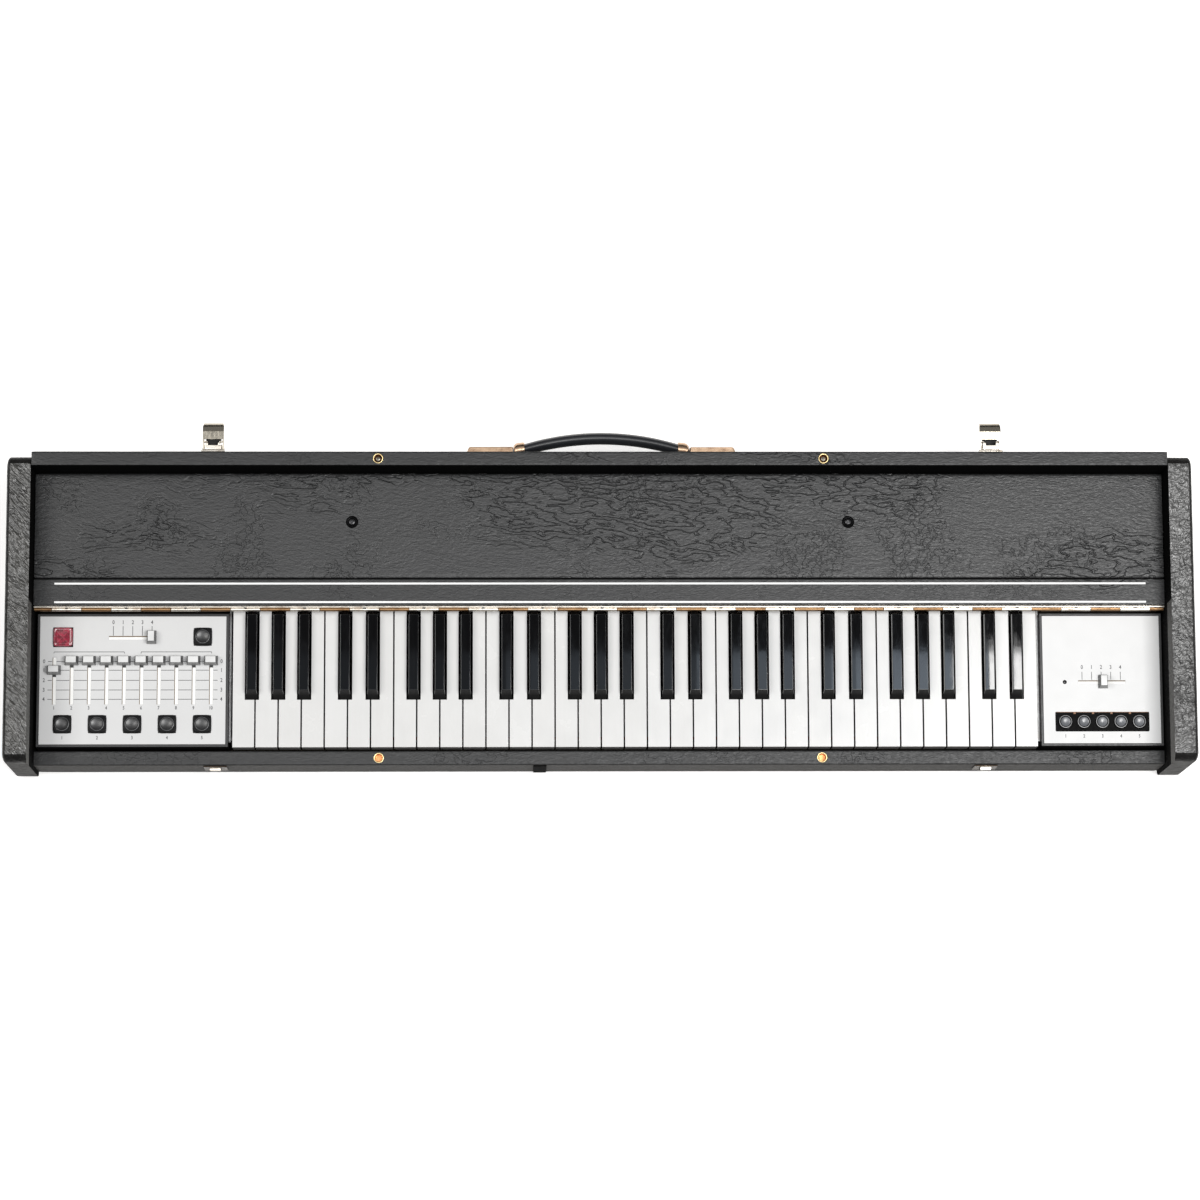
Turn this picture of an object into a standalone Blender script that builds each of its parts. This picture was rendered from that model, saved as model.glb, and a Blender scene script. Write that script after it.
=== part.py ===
# String synthesizer: a flat keyboard case with its lid off, 35 naturals and 25 sharps.
# X runs right, Y runs back, Z up. Lengths are metres.
# The model is built with Y = 0 at the front of the end cheeks, then centred over its footprint.
import math

import bmesh
import bpy
from mathutils import Matrix, Vector

OBJECT = "string_synthesizer"

# clearances
FIT = 0.0003  # between pieces that touch or are screwed together
SLIDE = 0.0004  # each side of a sliding stem in its groove
SWING = 0.00035  # between a turning knuckle and the other leaf

# keyboard
KEY_PITCH = 0.0235
KEY_GAP = 0.0012
NATURALS_PER_OCTAVE = 7
LOWER_OCTAVES = 2
UPPER_OCTAVES = 3
SHARP_CENTRES = (0.86, 2.0, 3.12, 4.89, 6.09)  # in key pitches from the left edge of each F
KEY_TOP = 0.0659
LIP_HEIGHT = 0.020
LIP_THICK = 0.0035
CAP_THICK = 0.009
TAIL_LOW = 0.050
TAIL_THICK = 0.0075
CAP_BEHIND_HINGE = 0.0002
TAIL_STEP_AHEAD = 0.0130  # step under the cap, ahead of the hinge
TAIL_STEP_RUN = 0.0070
SHARP_BASE_WIDTH = 0.0132
SHARP_TOP_WIDTH = 0.0098
SHARP_RISE = 0.0105  # above the naturals
SHARP_FRONT = 0.0495  # foot of the sharp, back from the naturals' front
SHARP_SLOPE = 0.0074
SHARP_AHEAD_OF_HINGE = 0.0045  # rear of the sharps
SHARP_FOOT = 0.057  # height of the cap's underside
SHARP_OVERLAP = 0.001  # lever let into the cap
SHARP_CUT_WIDTH = 0.0142
SHARP_CUT_AHEAD = 0.0007
LEVER_WIDTH = 0.008
LEVER_BEHIND_FOOT = 0.029  # front of a sharp's lever, back from its foot
KEY_TAIL_BEHIND = 0.012  # tail behind the pivot
TAIL_BAR_DEPTH = 0.005  # bar that joins the tails of one group
TAIL_BAR_THICK = 0.0031
TAIL_BAR_CLEAR = 0.0009  # over the other group's tails
SHARP_BAR_BEHIND = 0.0025  # gap between the two groups' bars
NOTCH_HALF = 0.0021
SPRING_RADIUS = 0.002
SPRING_BEHIND = 0.008
SPRING_SIDES = 6

# case, front to back
RAIL_SETBACK = 0.0049
RAIL_THICK = 0.015
RAIL_TOP = 0.0618
KEY_BEHIND_RAIL = 0.003
CASE_LIFT = 0.00485  # rails and bottom above the floor
BOTTOM_THICK = 0.00915
CHEEK_THICK = 0.025
CHEEK_ROUND = 0.007
BACK_THICK = 0.015
BACK_PROUD = 0.0046  # back board behind the cheeks
BOARD_ROUND = 0.003

# panels
PLATE_THICK = 0.0016
PLATE_TOP = 0.064
PLATE_BEHIND_RAIL = 0.0064
PLATE_DEPTH = 0.1316
LEFT_PLATE_WIDTH = 0.1895
RIGHT_PLATE_WIDTH = 0.120
LEFT_PLATE_INSET = 0.0053
RIGHT_PLATE_INSET = 0.0037
KEYS_RIGHT_OF_PLATE = 0.0066
RIGHT_PLATE_AFTER_KEYS = 0.006
FRAME_WALL = 0.0024
LEDGE_WIDTH = 0.003
LEDGE_THICK = 0.002

# cover and hinge
COVER_DEPTH = 0.1364
COVER_THICK = 0.015
STRIP_DEPTH = 0.027
STRIP_THICK = 0.0056
STRIP_GAP = 0.0008
COVER_SIDE_GAP = 0.0005
COVER_ROUND = 0.0012
CHEEK_ABOVE_COVER = 0.0406
HINGE_ABOVE_SHARPS = 0.0012
COVER_BELOW_AXIS = 0.0032
HINGE_BEHIND_FRAME = 0.0004
BARREL_RADIUS = 0.002
BORE_RADIUS = 0.0013
PIN_RADIUS = 0.001
LEAF_THICK = 0.001
LEAF_OFFSET = 0.0011  # front of both leaves behind the pin's axis
COVER_LEAF_RISE = 0.0059
FIXED_LEAF_DROP = 0.0101
KNUCKLE_PITCH = 0.0303
FIRST_KNUCKLE_INSET = 0.018
LAST_KNUCKLE_INSET = 0.010  # at least
KNUCKLE_GAP = 0.0004
HINGE_RAIL_DEPTH = 0.016
HINGE_RAIL_HEIGHT = 0.0153
SCREW_INSET = 0.3235  # from the inside of the cheek
SCREW_BACK = 0.0859  # behind the front of the cover
SHANK_RADIUS = 0.0018
BARREL_SIDES = 8
BORE_SIDES = 6

# lid fittings
SOCKET_INSET = 0.3508  # from the inside of the cheek
SOCKET_SIDES = 12
SOCKET_FLANGE = 0.0053  # seat of a socket's flange, let in flush
SOCKET_BORE = 0.00325
SOCKET_DEPTH = 0.013
FLANGE_THICK = 0.0008
LATCH_INSET = 0.1816  # from the inside of the cheek
LATCH_SHIFT = 0.0018  # both rear latches sit this far right of the middle
LATCH_DROP = 0.013  # pivot below the top of the back board
LATCH_STANDOFF = 0.0049
LATCH_PLATE = (0.024, 0.0015, 0.034)
LATCH_PLATE_DROP = 0.025  # its lower end below the pivot
EAR_INNER = 0.008
EAR_THICK = 0.0012
EAR_BEHIND_PIN = 0.003
EAR_HALF = 0.005
FLANGE_SHEET = 0.0012
TOP_SHEET = 0.0014
LATCH_PIN_RADIUS = 0.0012
LATCH_PIN_PROUD = 0.0005
PIN_SIDES = 8
LEVER_OUTLINE = (  # back and up from the pivot
    (-0.0026, -0.0005), (-0.0018, 0.0021), (0.0080, 0.0046), (0.0170, 0.0054), (0.0240, 0.0036),
    (0.0274, -0.0020), (0.0255, -0.0030), (0.0080, -0.0032), (0.0, -0.0027), (-0.0021, -0.0018),
)
LEVER_CROWN = ((0.0170, 0.0054), (0.0232, 0.0036))  # points of the top above its hollow
LEVER_CROWN_FRONT = 0.0047
LEVER_LIP = (0.0256, -0.0019)
LEVER_LIP_FOOT = 0.0245
HOLLOW_BEYOND = 0.008  # how far the hollow and the window run past the lever
WINDOW_CLEAR = 0.0009
LOOP_WIRE = 0.0011
LOOP_HALF = 0.0066
LOOP_BEND = 0.0012
LOOP_PIVOT = (0.007, 0.001)  # back and up from the lever's pivot
LOOP_BAR = (-0.0074, 0.009)  # crossbar from the loop's pivot
CATCH_INSET = 0.1837  # from the inside of the cheek
CATCH_SHIFT = 0.0007
CATCH_WIDTH = 0.0234
CATCH_HOOK_WIDTH = 0.0110
CATCH_Z = (0.030, 0.060)
CATCH_THICK = 0.0012
HOOK_TIP = 0.0004  # behind the front of the cheeks
HOOK_ROOT = 0.0004  # let into the plate
HOOK_SHEET = 0.0012
HOOK_ROOT_Z = (0.042, 0.0455)
HOOK_TIP_Z = (0.044, 0.052)
HOOK_CROOK = 0.0005

# carrying handle
HANDLE_X = 0.0015
HANDLE_Z = 0.070
HANDLE_STANDOFF = 0.0095  # pivot behind the back board
BRACKET_FROM = 0.0905
BRACKET_LENGTH = 0.0480
BRACKET_PROUD = 0.0140
BRACKET_HEIGHT = 0.024
BRACKET_NOSE = 0.0040  # length of the rounded outer end
NOSE_STEPS = 5
BRACKET_ROUND = 0.0015
FERRULE_LENGTH = 0.0112
FERRULE_PROUD = (0.0020, 0.0005)  # over the grip, across and up
FERRULE_LEAN = 0.0015  # how much nearer the case its outer end is
FERRULE_SIDES = 16
GRIP_THICK = 0.012
GRIP_HEIGHT = 0.017
GRIP_ROUND = 0.0045
GRIP_STEPS = 12
GRIP_BOW = 0.0152
HANDLE_PIN_RADIUS = 0.002
HANDLE_PIN_REACH = 0.0058
HANDLE_PIN_ROOT = 0.002

# controls
SLOT_WIDTH = 0.0038
SLOT_LENGTH = 0.0485
STEM_THICK = 0.0026
STEM_LENGTH = 0.0076
STEM_ROOT = 0.001  # how far a stem or plunger goes into its cap
SLIDER_PITCH = 0.01773
SLIDERS = 10
SLIDER_ROW_BACK = 0.0651  # middle of the slots, behind the plate's front
SLIDER_ZERO = 0.01995  # knob at rest, behind the middle of its slot
SCALE_STEP = 0.00972
KNOB_BASE = (0.015, 0.0115)
KNOB_TOP = (0.0115, 0.0078)
KNOB_HEIGHT = 0.010
KNOB_CLEAR = 0.0009
HOUSING_WIDTH = 0.012
HOUSING_WALL = 0.005
BOARD_TOP = 0.0467
BOARD_INSET = 0.004
BOARD_THICK = 0.0016
STEM_LOW = 0.0565
LEVEL_SLOT_BACK = 0.1095
SUSTAIN_MIDDLE = -0.0005  # from the middle of the left plate
SUSTAIN_REST = 0.0195
VOLUME_MIDDLE = 0.0003
VOLUME_BACK = 0.06295
VOLUME_REST = 0.0013
BUTTON = 0.0175
BUTTON_ROUND = 0.0008
VOICE_BUTTONS = 5
BUTTON_HOLE_CLEAR = 0.0004
BUTTON_PROUD = 0.0032
BUTTON_THICK = 0.0067
BUTTON_TRAVEL = 0.003
BUTTON_PITCH = 0.0355
BUTTON_ROW_BACK = 0.0206
PLUNGER = 0.006
PLUNGER_LENGTH = 0.009
DISH_RADIUS = 0.0065
DISH_DEPTH = 0.001
DISH_FLAT = 0.4  # flat share of a dish's radius
DISH_SIDES = 16
POWER_BUTTON = 0.0197
POWER_OFFSET = -0.0713
POWER_BACK = 0.1102
BASS_OFFSET = 0.0709
BASS_BACK = 0.1105
BANK_WIDTH = 0.0941
BANK_DEPTH = 0.0192
BANK_BACK = 0.0222
SOLO_BUTTONS = 5
SOLO_RADIUS = 0.0073
SOLO_SIDES = 16
SOLO_PITCH = 0.0189
SOLO_CLEAR = 0.0005
SOLO_PROUD = 0.0022
SOLO_THICK = 0.0095
SOLO_PLUNGER_LENGTH = 0.0045
TRIMMER_OFFSET = -0.0377
TRIMMER_BACK = 0.0631
TRIMMER_RADIUS = 0.00185
TRIMMER_SIDES = 12
TRIMMER_BODY = 0.006

# inside
FRAME_PLATE_THICK = 0.003
FRAME_FRONT = 0.0071  # back from the keys' front
FRAME_BEHIND_POSTS = 0.001
FRAME_SIDE_WALL = 0.002
GUIDE_BACK = 0.0091  # back from the keys' front
GUIDE_DEPTH = 0.004
GUIDE_BELOW_CAPS = 0.0109
CONTACTS_AHEAD = (0.0431, 0.0031)  # front and rear, ahead of the hinge
CONTACTS_RISE = 0.012
RIDGE_BEHIND_HINGE = 0.042
RIDGE_HALF = 0.00125
PIVOT_Z = 0.0525
POST_HALF = 0.010
POST_BORE = 0.003
POST_BORE_DEPTH = 0.012
TRANSFORMER = (0.060, 0.050, 0.040)
TRANSFORMER_INSET = 0.1268  # middle, from the inside of the left cheek
TRANSFORMER_AHEAD = 0.035
WINDING_INSET = 0.006
MAIN_BOARD_INSET = 0.2768  # left end, from the inside of the left cheek
MAIN_BOARD_WIDTH = 0.450
MAIN_BOARD_BEHIND_POSTS = 0.004
MAIN_BOARD_AHEAD = 0.003
CHIPS = 6
CHIP = (0.020, 0.007, 0.004)
CHIP_INSET = 0.030
SOCKET_PANEL = (0.110, 0.0015, 0.038)
SOCKET_PANEL_INSET = 0.3418  # middle, from the inside of the right cheek
SOCKET_PANEL_Z = 0.045
JACKS = 3
JACK_PITCH = 0.018
JACK_RADIUS = 0.0055
JACK_BORE = 0.00325
JACK_SIDES = 10
JACKS_OFFSET = -0.036  # first jack from the panel's middle
JACK_PROUD = 0.0025
BODY_BEHIND_WALL = 0.001  # front of the jacks, behind the board's inner face
BODY_WALL = 0.002
INLET_OFFSET = 0.034
INLET = (0.028, 0.022)
INLET_POCKET = (0.022, 0.016)

# worked out from the sizes above
OCTAVES = LOWER_OCTAVES + UPPER_OCTAVES
KEYS_WIDTH = OCTAVES * NATURALS_PER_OCTAVE * KEY_PITCH
INNER_WIDTH = (
    LEFT_PLATE_INSET + LEFT_PLATE_WIDTH + KEYS_RIGHT_OF_PLATE + KEYS_WIDTH
    + RIGHT_PLATE_AFTER_KEYS + RIGHT_PLATE_WIDTH + RIGHT_PLATE_INSET
)
INNER = INNER_WIDTH / 2
SCREW_SPREAD = INNER - SCREW_INSET
SOCKET_SPREAD = INNER - SOCKET_INSET
LATCHES_X = (LATCH_SHIFT - INNER + LATCH_INSET, LATCH_SHIFT + INNER - LATCH_INSET)
CATCHES_X = (CATCH_SHIFT - INNER + CATCH_INSET, CATCH_SHIFT + INNER - CATCH_INSET)
TRANSFORMER_X = TRANSFORMER_INSET - INNER
MAIN_BOARD_X = (MAIN_BOARD_INSET - INNER, MAIN_BOARD_INSET - INNER + MAIN_BOARD_WIDTH)
CHIP_PITCH = (MAIN_BOARD_WIDTH - 2 * CHIP_INSET) / CHIPS
SOCKET_PANEL_X = INNER - SOCKET_PANEL_INSET
HINGE_RUN = INNER_WIDTH - FIRST_KNUCKLE_INSET - LAST_KNUCKLE_INSET
KNUCKLES = 2 * math.floor((HINGE_RUN / KNUCKLE_PITCH - 1) / 2) + 1  # odd: both end ones are the cover's
BETWEEN = (-INNER + FIT, INNER - FIT)
LEFT_PLATE = (-INNER + LEFT_PLATE_INSET, -INNER + LEFT_PLATE_INSET + LEFT_PLATE_WIDTH)
RIGHT_PLATE = (INNER - RIGHT_PLATE_INSET - RIGHT_PLATE_WIDTH, INNER - RIGHT_PLATE_INSET)
KEYS_LEFT = LEFT_PLATE[1] + KEYS_RIGHT_OF_PLATE
KEYS_RIGHT = KEYS_LEFT + KEYS_WIDTH
LEFT_MIDDLE = sum(LEFT_PLATE) / 2
RIGHT_MIDDLE = sum(RIGHT_PLATE) / 2

RAIL_REAR = RAIL_SETBACK + RAIL_THICK
KEY_FRONT = RAIL_REAR + KEY_BEHIND_RAIL
PLATE_FRONT = RAIL_REAR + PLATE_BEHIND_RAIL
PLATE_REAR = PLATE_FRONT + PLATE_DEPTH
HINGE_Y = PLATE_REAR + FIT + FRAME_WALL + HINGE_BEHIND_FRAME + BARREL_RADIUS
LEAF = (HINGE_Y + LEAF_OFFSET, HINGE_Y + LEAF_OFFSET + LEAF_THICK)
COVER_FRONT = LEAF[1] + FIT
COVER_REAR = COVER_FRONT + COVER_DEPTH
BACK_FRONT = COVER_REAR + FIT
BACK_REAR = BACK_FRONT + BACK_THICK
CHEEK_DEPTH = BACK_REAR - BACK_PROUD
SHARP_FOOT_Y = KEY_FRONT + SHARP_FRONT
SHARP_REAR = HINGE_Y - SHARP_AHEAD_OF_HINGE
LEVER_FRONT = SHARP_FOOT_Y + LEVER_BEHIND_FOOT
RIDGE_Y = HINGE_Y + RIDGE_BEHIND_HINGE
TAIL_REAR = RIDGE_Y + KEY_TAIL_BEHIND
SHARP_TAIL_TOP = SHARP_FOOT + SHARP_OVERLAP

BOTTOM_TOP = CASE_LIFT + BOTTOM_THICK
FLOOR_IN = BOTTOM_TOP + FIT
SHARP_TOP = KEY_TOP + SHARP_RISE
HINGE_Z = SHARP_TOP + HINGE_ABOVE_SHARPS
COVER_LOW = HINGE_Z - COVER_BELOW_AXIS
COVER_TOP = COVER_LOW + COVER_THICK
STRIP_LOW = COVER_TOP - STRIP_THICK
CASE_HEIGHT = COVER_TOP + CHEEK_ABOVE_COVER
PLATE_LOW = PLATE_TOP - PLATE_THICK
PLATE_Z = (PLATE_LOW, PLATE_TOP)
SCREW_Y = COVER_FRONT + SCREW_BACK
RAIL_UNDER_COVER = COVER_LOW - FIT

LATCH_Y = BACK_REAR + LATCH_STANDOFF
LATCH_Z = CASE_HEIGHT - LATCH_DROP
HANDLE_Y = BACK_REAR + HANDLE_STANDOFF
LEVER_REACH = max(back for back, _ in LEVER_OUTLINE)
OVERALL_DEPTH = max(LATCH_Y + LEVER_REACH, HANDLE_Y + GRIP_BOW + GRIP_THICK / 2)
FRONT_Y = -OVERALL_DEPTH / 2

# colour, roughness and metallic of each finish
LOOKS = {
    "vinyl": ((0.035, 0.036, 0.038), 0.45, 0.0),
    "plate": ((0.62, 0.63, 0.63), 0.42, 0.0),
    "black": ((0.02, 0.02, 0.022), 0.35, 0.0),
    "ivory": ((0.80, 0.80, 0.78), 0.30, 0.0),
    "ebony": ((0.015, 0.015, 0.017), 0.25, 0.0),
    "nickel": ((0.75, 0.72, 0.68), 0.28, 1.0),
    "brass": ((0.70, 0.50, 0.26), 0.35, 1.0),
    "steel": ((0.50, 0.51, 0.52), 0.45, 1.0),
    "knob": ((0.60, 0.61, 0.62), 0.35, 0.0),
    "red": ((0.55, 0.03, 0.02), 0.20, 0.0),
    "board": ((0.10, 0.22, 0.10), 0.50, 0.0),
    "iron": ((0.20, 0.18, 0.16), 0.60, 0.6),
}

for old in list(bpy.data.objects):
    bpy.data.objects.remove(old)
PARTS = bpy.data.collections.new(OBJECT)
WORKSHOP = bpy.data.collections.new("cutters")
for shelf in (PARTS, WORKSHOP):
    bpy.context.scene.collection.children.link(shelf)


# shapes

def finish_for(name, look):
    colour, roughness, metallic = LOOKS[look]
    finish = bpy.data.materials.new(name + "_finish")
    finish.use_nodes = True
    shader = finish.node_tree.nodes["Principled BSDF"]
    shader.inputs["Base Color"].default_value = (*colour, 1.0)
    shader.inputs["Roughness"].default_value = roughness
    shader.inputs["Metallic"].default_value = metallic
    finish.diffuse_color = (*colour, 1.0)
    return finish


def raw(mesh):
    """An unfinished shape, kept with the cutters until it becomes a part."""
    shape = bpy.data.objects.new("shape", mesh)
    shape.hide_render = True
    shape.display_type = "WIRE"
    WORKSHOP.objects.link(shape)
    return shape


def from_bmesh(bm):
    mesh = bpy.data.meshes.new("shape")
    bm.to_mesh(mesh)
    bm.free()
    return raw(mesh)


def boxes(*spans):
    """Boxes, each given as its (low, high) along X, Y and Z."""
    bm = bmesh.new()
    for span in spans:
        centre = Vector([(low + high) / 2 for low, high in span])
        size = [high - low for low, high in span]
        place = Matrix.Translation(centre) @ Matrix.Diagonal((*size, 1.0))
        bmesh.ops.create_cube(bm, size=1.0, matrix=place)
    return from_bmesh(bm)


def about(middle, half):
    return (middle - half, middle + half)


AXIS_TURN = {
    "X": Matrix.Rotation(math.pi / 2, 4, "Y"),
    "Y": Matrix.Rotation(-math.pi / 2, 4, "X"),
    "Z": Matrix.Identity(4),
}


def rods(axis, radius, span, centres, sides):
    """Cylinders along one axis; each centre gives the two other coordinates in X, Y, Z order."""
    bm = bmesh.new()
    spin = Matrix.Rotation(math.pi / sides, 4, "Z")
    for centre in centres:
        place = list(centre)
        place.insert("XYZ".index(axis), sum(span) / 2)
        matrix = Matrix.Translation(Vector(place)) @ AXIS_TURN[axis] @ spin
        bmesh.ops.create_cone(
            bm, cap_ends=True, segments=sides, radius1=radius, radius2=radius,
            depth=span[1] - span[0], matrix=matrix,
        )
    return from_bmesh(bm)


def baked(shape):
    """Applies the modifiers, so that the next cut works on a plain mesh."""
    graph = bpy.context.evaluated_depsgraph_get()
    mesh = bpy.data.meshes.new_from_object(shape.evaluated_get(graph))
    shape.modifiers.clear()
    shape.data = mesh
    return shape


def combined(shape, other, operation):
    change = shape.modifiers.new("combine", "BOOLEAN")
    change.operation = operation
    change.solver = "EXACT"
    change.object = other
    baked(shape)
    bpy.data.objects.remove(other)
    return shape


def cut(shape, *cutters):
    for cutter in cutters:
        combined(shape, cutter, "DIFFERENCE")
    return shape


def fused(shape, *others):
    for other in others:
        combined(shape, other, "UNION")
    return shape


def gathered(shapes):
    """Separate solids in one mesh."""
    bm = bmesh.new()
    for shape in shapes:
        bm.from_mesh(shape.data)
        bpy.data.objects.remove(shape)
    return from_bmesh(bm)


def rounded(shape, width, segments=2):
    edge = shape.modifiers.new("round", "BEVEL")
    edge.width = width
    edge.segments = segments
    edge.limit_method = "ANGLE"
    edge.angle_limit = math.radians(40)
    return baked(shape)


OUTLINE_TURN = {
    "X": Matrix(((0, 0, 1, 0), (1, 0, 0, 0), (0, 1, 0, 0), (0, 0, 0, 1))),
    "Z": Matrix.Identity(4),
}


def outline(axis, points, span):
    """A flat outline, in Y and Z along X or in X and Y along Z, drawn out over a span."""
    curve = bpy.data.curves.new("outline", "CURVE")
    curve.dimensions = "2D"
    curve.fill_mode = "BOTH"
    curve.extrude = (span[1] - span[0]) / 2
    spline = curve.splines.new("POLY")
    spline.points.add(len(points) - 1)
    for point, (across, up) in zip(spline.points, points):
        point.co = (across, up, 0.0, 1.0)
    spline.use_cyclic_u = True
    drawn = raw(curve)
    middle = sum(span) / 2
    offset = (middle, 0.0, 0.0) if axis == "X" else (0.0, 0.0, middle)
    drawn.matrix_world = Matrix.Translation(offset) @ OUTLINE_TURN[axis]
    return meshed(drawn)


def meshed(drawn):
    """A curve turned into a closed mesh, in its place."""
    bpy.context.view_layer.update()
    graph = bpy.context.evaluated_depsgraph_get()
    mesh = bpy.data.meshes.new_from_object(drawn.evaluated_get(graph))
    bm = bmesh.new()
    bm.from_mesh(mesh)
    bmesh.ops.remove_doubles(bm, verts=bm.verts, dist=0.000001)
    bmesh.ops.recalc_face_normals(bm, faces=bm.faces)
    bm.transform(drawn.matrix_world)
    bpy.data.objects.remove(drawn)
    return from_bmesh(bm)


def tube(points, radius):
    curve = bpy.data.curves.new("tube", "CURVE")
    curve.dimensions = "3D"
    curve.bevel_depth = radius
    curve.bevel_resolution = 1
    curve.use_fill_caps = True
    spline = curve.splines.new("POLY")
    spline.points.add(len(points) - 1)
    for point, place in zip(spline.points, points):
        point.co = (*place, 1.0)
    return meshed(raw(curve))


def part(name, shape, look, pivot=(0.0, 0.0, 0.0)):
    """Names a finished shape, moves its origin to its pivot and puts it in the object's collection."""
    shape.name = name
    shape.data.name = name
    shape.data.transform(Matrix.Translation(-Vector(pivot)))
    shape.location = Vector(pivot) + Vector((0.0, FRONT_Y, 0.0))
    shape.hide_render = False
    shape.display_type = "TEXTURED"
    WORKSHOP.objects.unlink(shape)
    PARTS.objects.link(shape)
    shape.data.materials.clear()
    shape.data.materials.append(finish_for(name, look))
    return shape


# case

def socket_places():
    front = RAIL_SETBACK + RAIL_THICK / 2
    rear = BACK_FRONT + BACK_THICK / 2
    sides = (-SOCKET_SPREAD, SOCKET_SPREAD)
    return [(x, front, RAIL_TOP) for x in sides] + [(x, rear, CASE_HEIGHT) for x in sides]


def socket_hole(place):
    """The bore of a lid socket and the seat of its flange."""
    x, y, top = place
    bore = rods("Z", SOCKET_BORE, (top - SOCKET_DEPTH, top + FIT), [(x, y)], SOCKET_SIDES)
    seat = rods("Z", SOCKET_FLANGE, (top - FLANGE_THICK, top + FIT), [(x, y)], SOCKET_SIDES)
    return fused(bore, seat)


def case():
    part(
        "bottom_board",
        boxes((BETWEEN, (RAIL_REAR + FIT, BACK_FRONT - FIT), (CASE_LIFT, BOTTOM_TOP))),
        "vinyl",
    )
    for name, side in (("left_cheek", -1), ("right_cheek", 1)):
        across = sorted((side * INNER, side * (INNER + CHEEK_THICK)))
        block = boxes((across, (0.0, CHEEK_DEPTH), (0.0, CASE_HEIGHT)))
        part(name, rounded(block, CHEEK_ROUND), "vinyl")
    places = socket_places()
    rail = boxes((BETWEEN, (RAIL_SETBACK, RAIL_REAR), (CASE_LIFT, RAIL_TOP)))
    rounded(rail, BOARD_ROUND, 1)
    part("front_rail", cut(rail, *[socket_hole(place) for place in places[:2]]), "vinyl")
    back = boxes((BETWEEN, (BACK_FRONT, BACK_REAR), (CASE_LIFT, CASE_HEIGHT)))
    rounded(back, BOARD_ROUND, 1)
    width, _, height = SOCKET_PANEL
    window = boxes((
        about(SOCKET_PANEL_X, width / 2 - BOARD_ROUND),
        (BACK_FRONT - FIT, BACK_REAR + FIT),
        about(SOCKET_PANEL_Z, height / 2 - BOARD_ROUND),
    ))
    part("back_board", cut(back, window, *[socket_hole(place) for place in places[2:]]), "vinyl")


# cover and hinge

def cover():
    across = (-INNER + COVER_SIDE_GAP, INNER - COVER_SIDE_GAP)
    strip_rear = COVER_FRONT + STRIP_DEPTH
    main_front = strip_rear + STRIP_GAP
    tongue_top = STRIP_LOW - FIT
    board = outline("X", [
        (COVER_FRONT, COVER_LOW),
        (COVER_REAR, COVER_LOW),
        (COVER_REAR, COVER_TOP - COVER_ROUND),
        (COVER_REAR - COVER_ROUND, COVER_TOP),
        (main_front + COVER_ROUND, COVER_TOP),
        (main_front, COVER_TOP - COVER_ROUND),
        (main_front, tongue_top),
        (COVER_FRONT, tongue_top),
    ], across)
    holes = rods(
        "Z", SHANK_RADIUS + FIT, (COVER_LOW - FIT, COVER_TOP + FIT),
        [(-SCREW_SPREAD, SCREW_Y), (SCREW_SPREAD, SCREW_Y)], SOCKET_SIDES,
    )
    hinge = (0.0, HINGE_Y, HINGE_Z)
    part("top_cover", cut(board, holes), "vinyl", hinge)
    strip = outline("X", [
        (COVER_FRONT, STRIP_LOW),
        (strip_rear, STRIP_LOW),
        (strip_rear, COVER_TOP - COVER_ROUND),
        (strip_rear - COVER_ROUND, COVER_TOP),
        (COVER_FRONT + COVER_ROUND, COVER_TOP),
        (COVER_FRONT, COVER_TOP - COVER_ROUND),
    ], across)
    part("name_strip", strip, "black", hinge)


def knuckle_spans():
    """The barrel's pieces from left to right, even ones on the cover's leaf."""
    first = -INNER + FIRST_KNUCKLE_INSET
    edges = [first + k * KNUCKLE_PITCH for k in range(KNUCKLES + 1)]
    spans = [(left, right) for left, right in zip(edges, edges[1:])]
    cover_side = spans[0::2]
    fixed_side = [(BETWEEN[0], first)] + spans[1::2] + [(edges[-1], BETWEEN[1])]
    half = KNUCKLE_GAP / 2
    trimmed = lambda group: [(left + half, right - half) for left, right in group]
    return trimmed(cover_side), trimmed(fixed_side)


def leaf_with_barrel(own, other, leaf_z, notch_z):
    """A leaf with its knuckles, notched round the knuckles of the other leaf."""
    leaf = boxes((BETWEEN, LEAF, leaf_z))
    notches = [
        ((left - KNUCKLE_GAP, right + KNUCKLE_GAP), (LEAF[0] - FIT, LEAF[1] + FIT), notch_z)
        for left, right in other
    ]
    cut(leaf, boxes(*notches))
    axis = (HINGE_Y, HINGE_Z)
    barrel = gathered([rods("X", BARREL_RADIUS, span, [axis], BARREL_SIDES) for span in own])
    bore = rods("X", BORE_RADIUS, (BETWEEN[0] - FIT, BETWEEN[1] + FIT), [axis], BORE_SIDES)
    return cut(fused(leaf, barrel), bore)


def hinge():
    cover_side, fixed_side = knuckle_spans()
    axis = (0.0, HINGE_Y, HINGE_Z)
    reach = BARREL_RADIUS + SWING
    upper = leaf_with_barrel(
        cover_side, fixed_side,
        (HINGE_Z, HINGE_Z + COVER_LEAF_RISE), (HINGE_Z - FIT, HINGE_Z + reach),
    )
    part("hinge_cover_leaf", upper, "nickel", axis)
    lower = leaf_with_barrel(
        fixed_side, cover_side,
        (HINGE_Z - FIXED_LEAF_DROP, HINGE_Z), (HINGE_Z - reach, HINGE_Z + FIT),
    )
    part("hinge_fixed_leaf", lower, "brass")
    part("hinge_pin", rods("X", PIN_RADIUS, BETWEEN, [(HINGE_Y, HINGE_Z)], BORE_SIDES), "steel")
    beam = boxes((
        BETWEEN,
        (COVER_FRONT, COVER_FRONT + HINGE_RAIL_DEPTH),
        (RAIL_UNDER_COVER - HINGE_RAIL_HEIGHT, RAIL_UNDER_COVER),
    ))
    part("hinge_rail", beam, "black")


# lid latches

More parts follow.
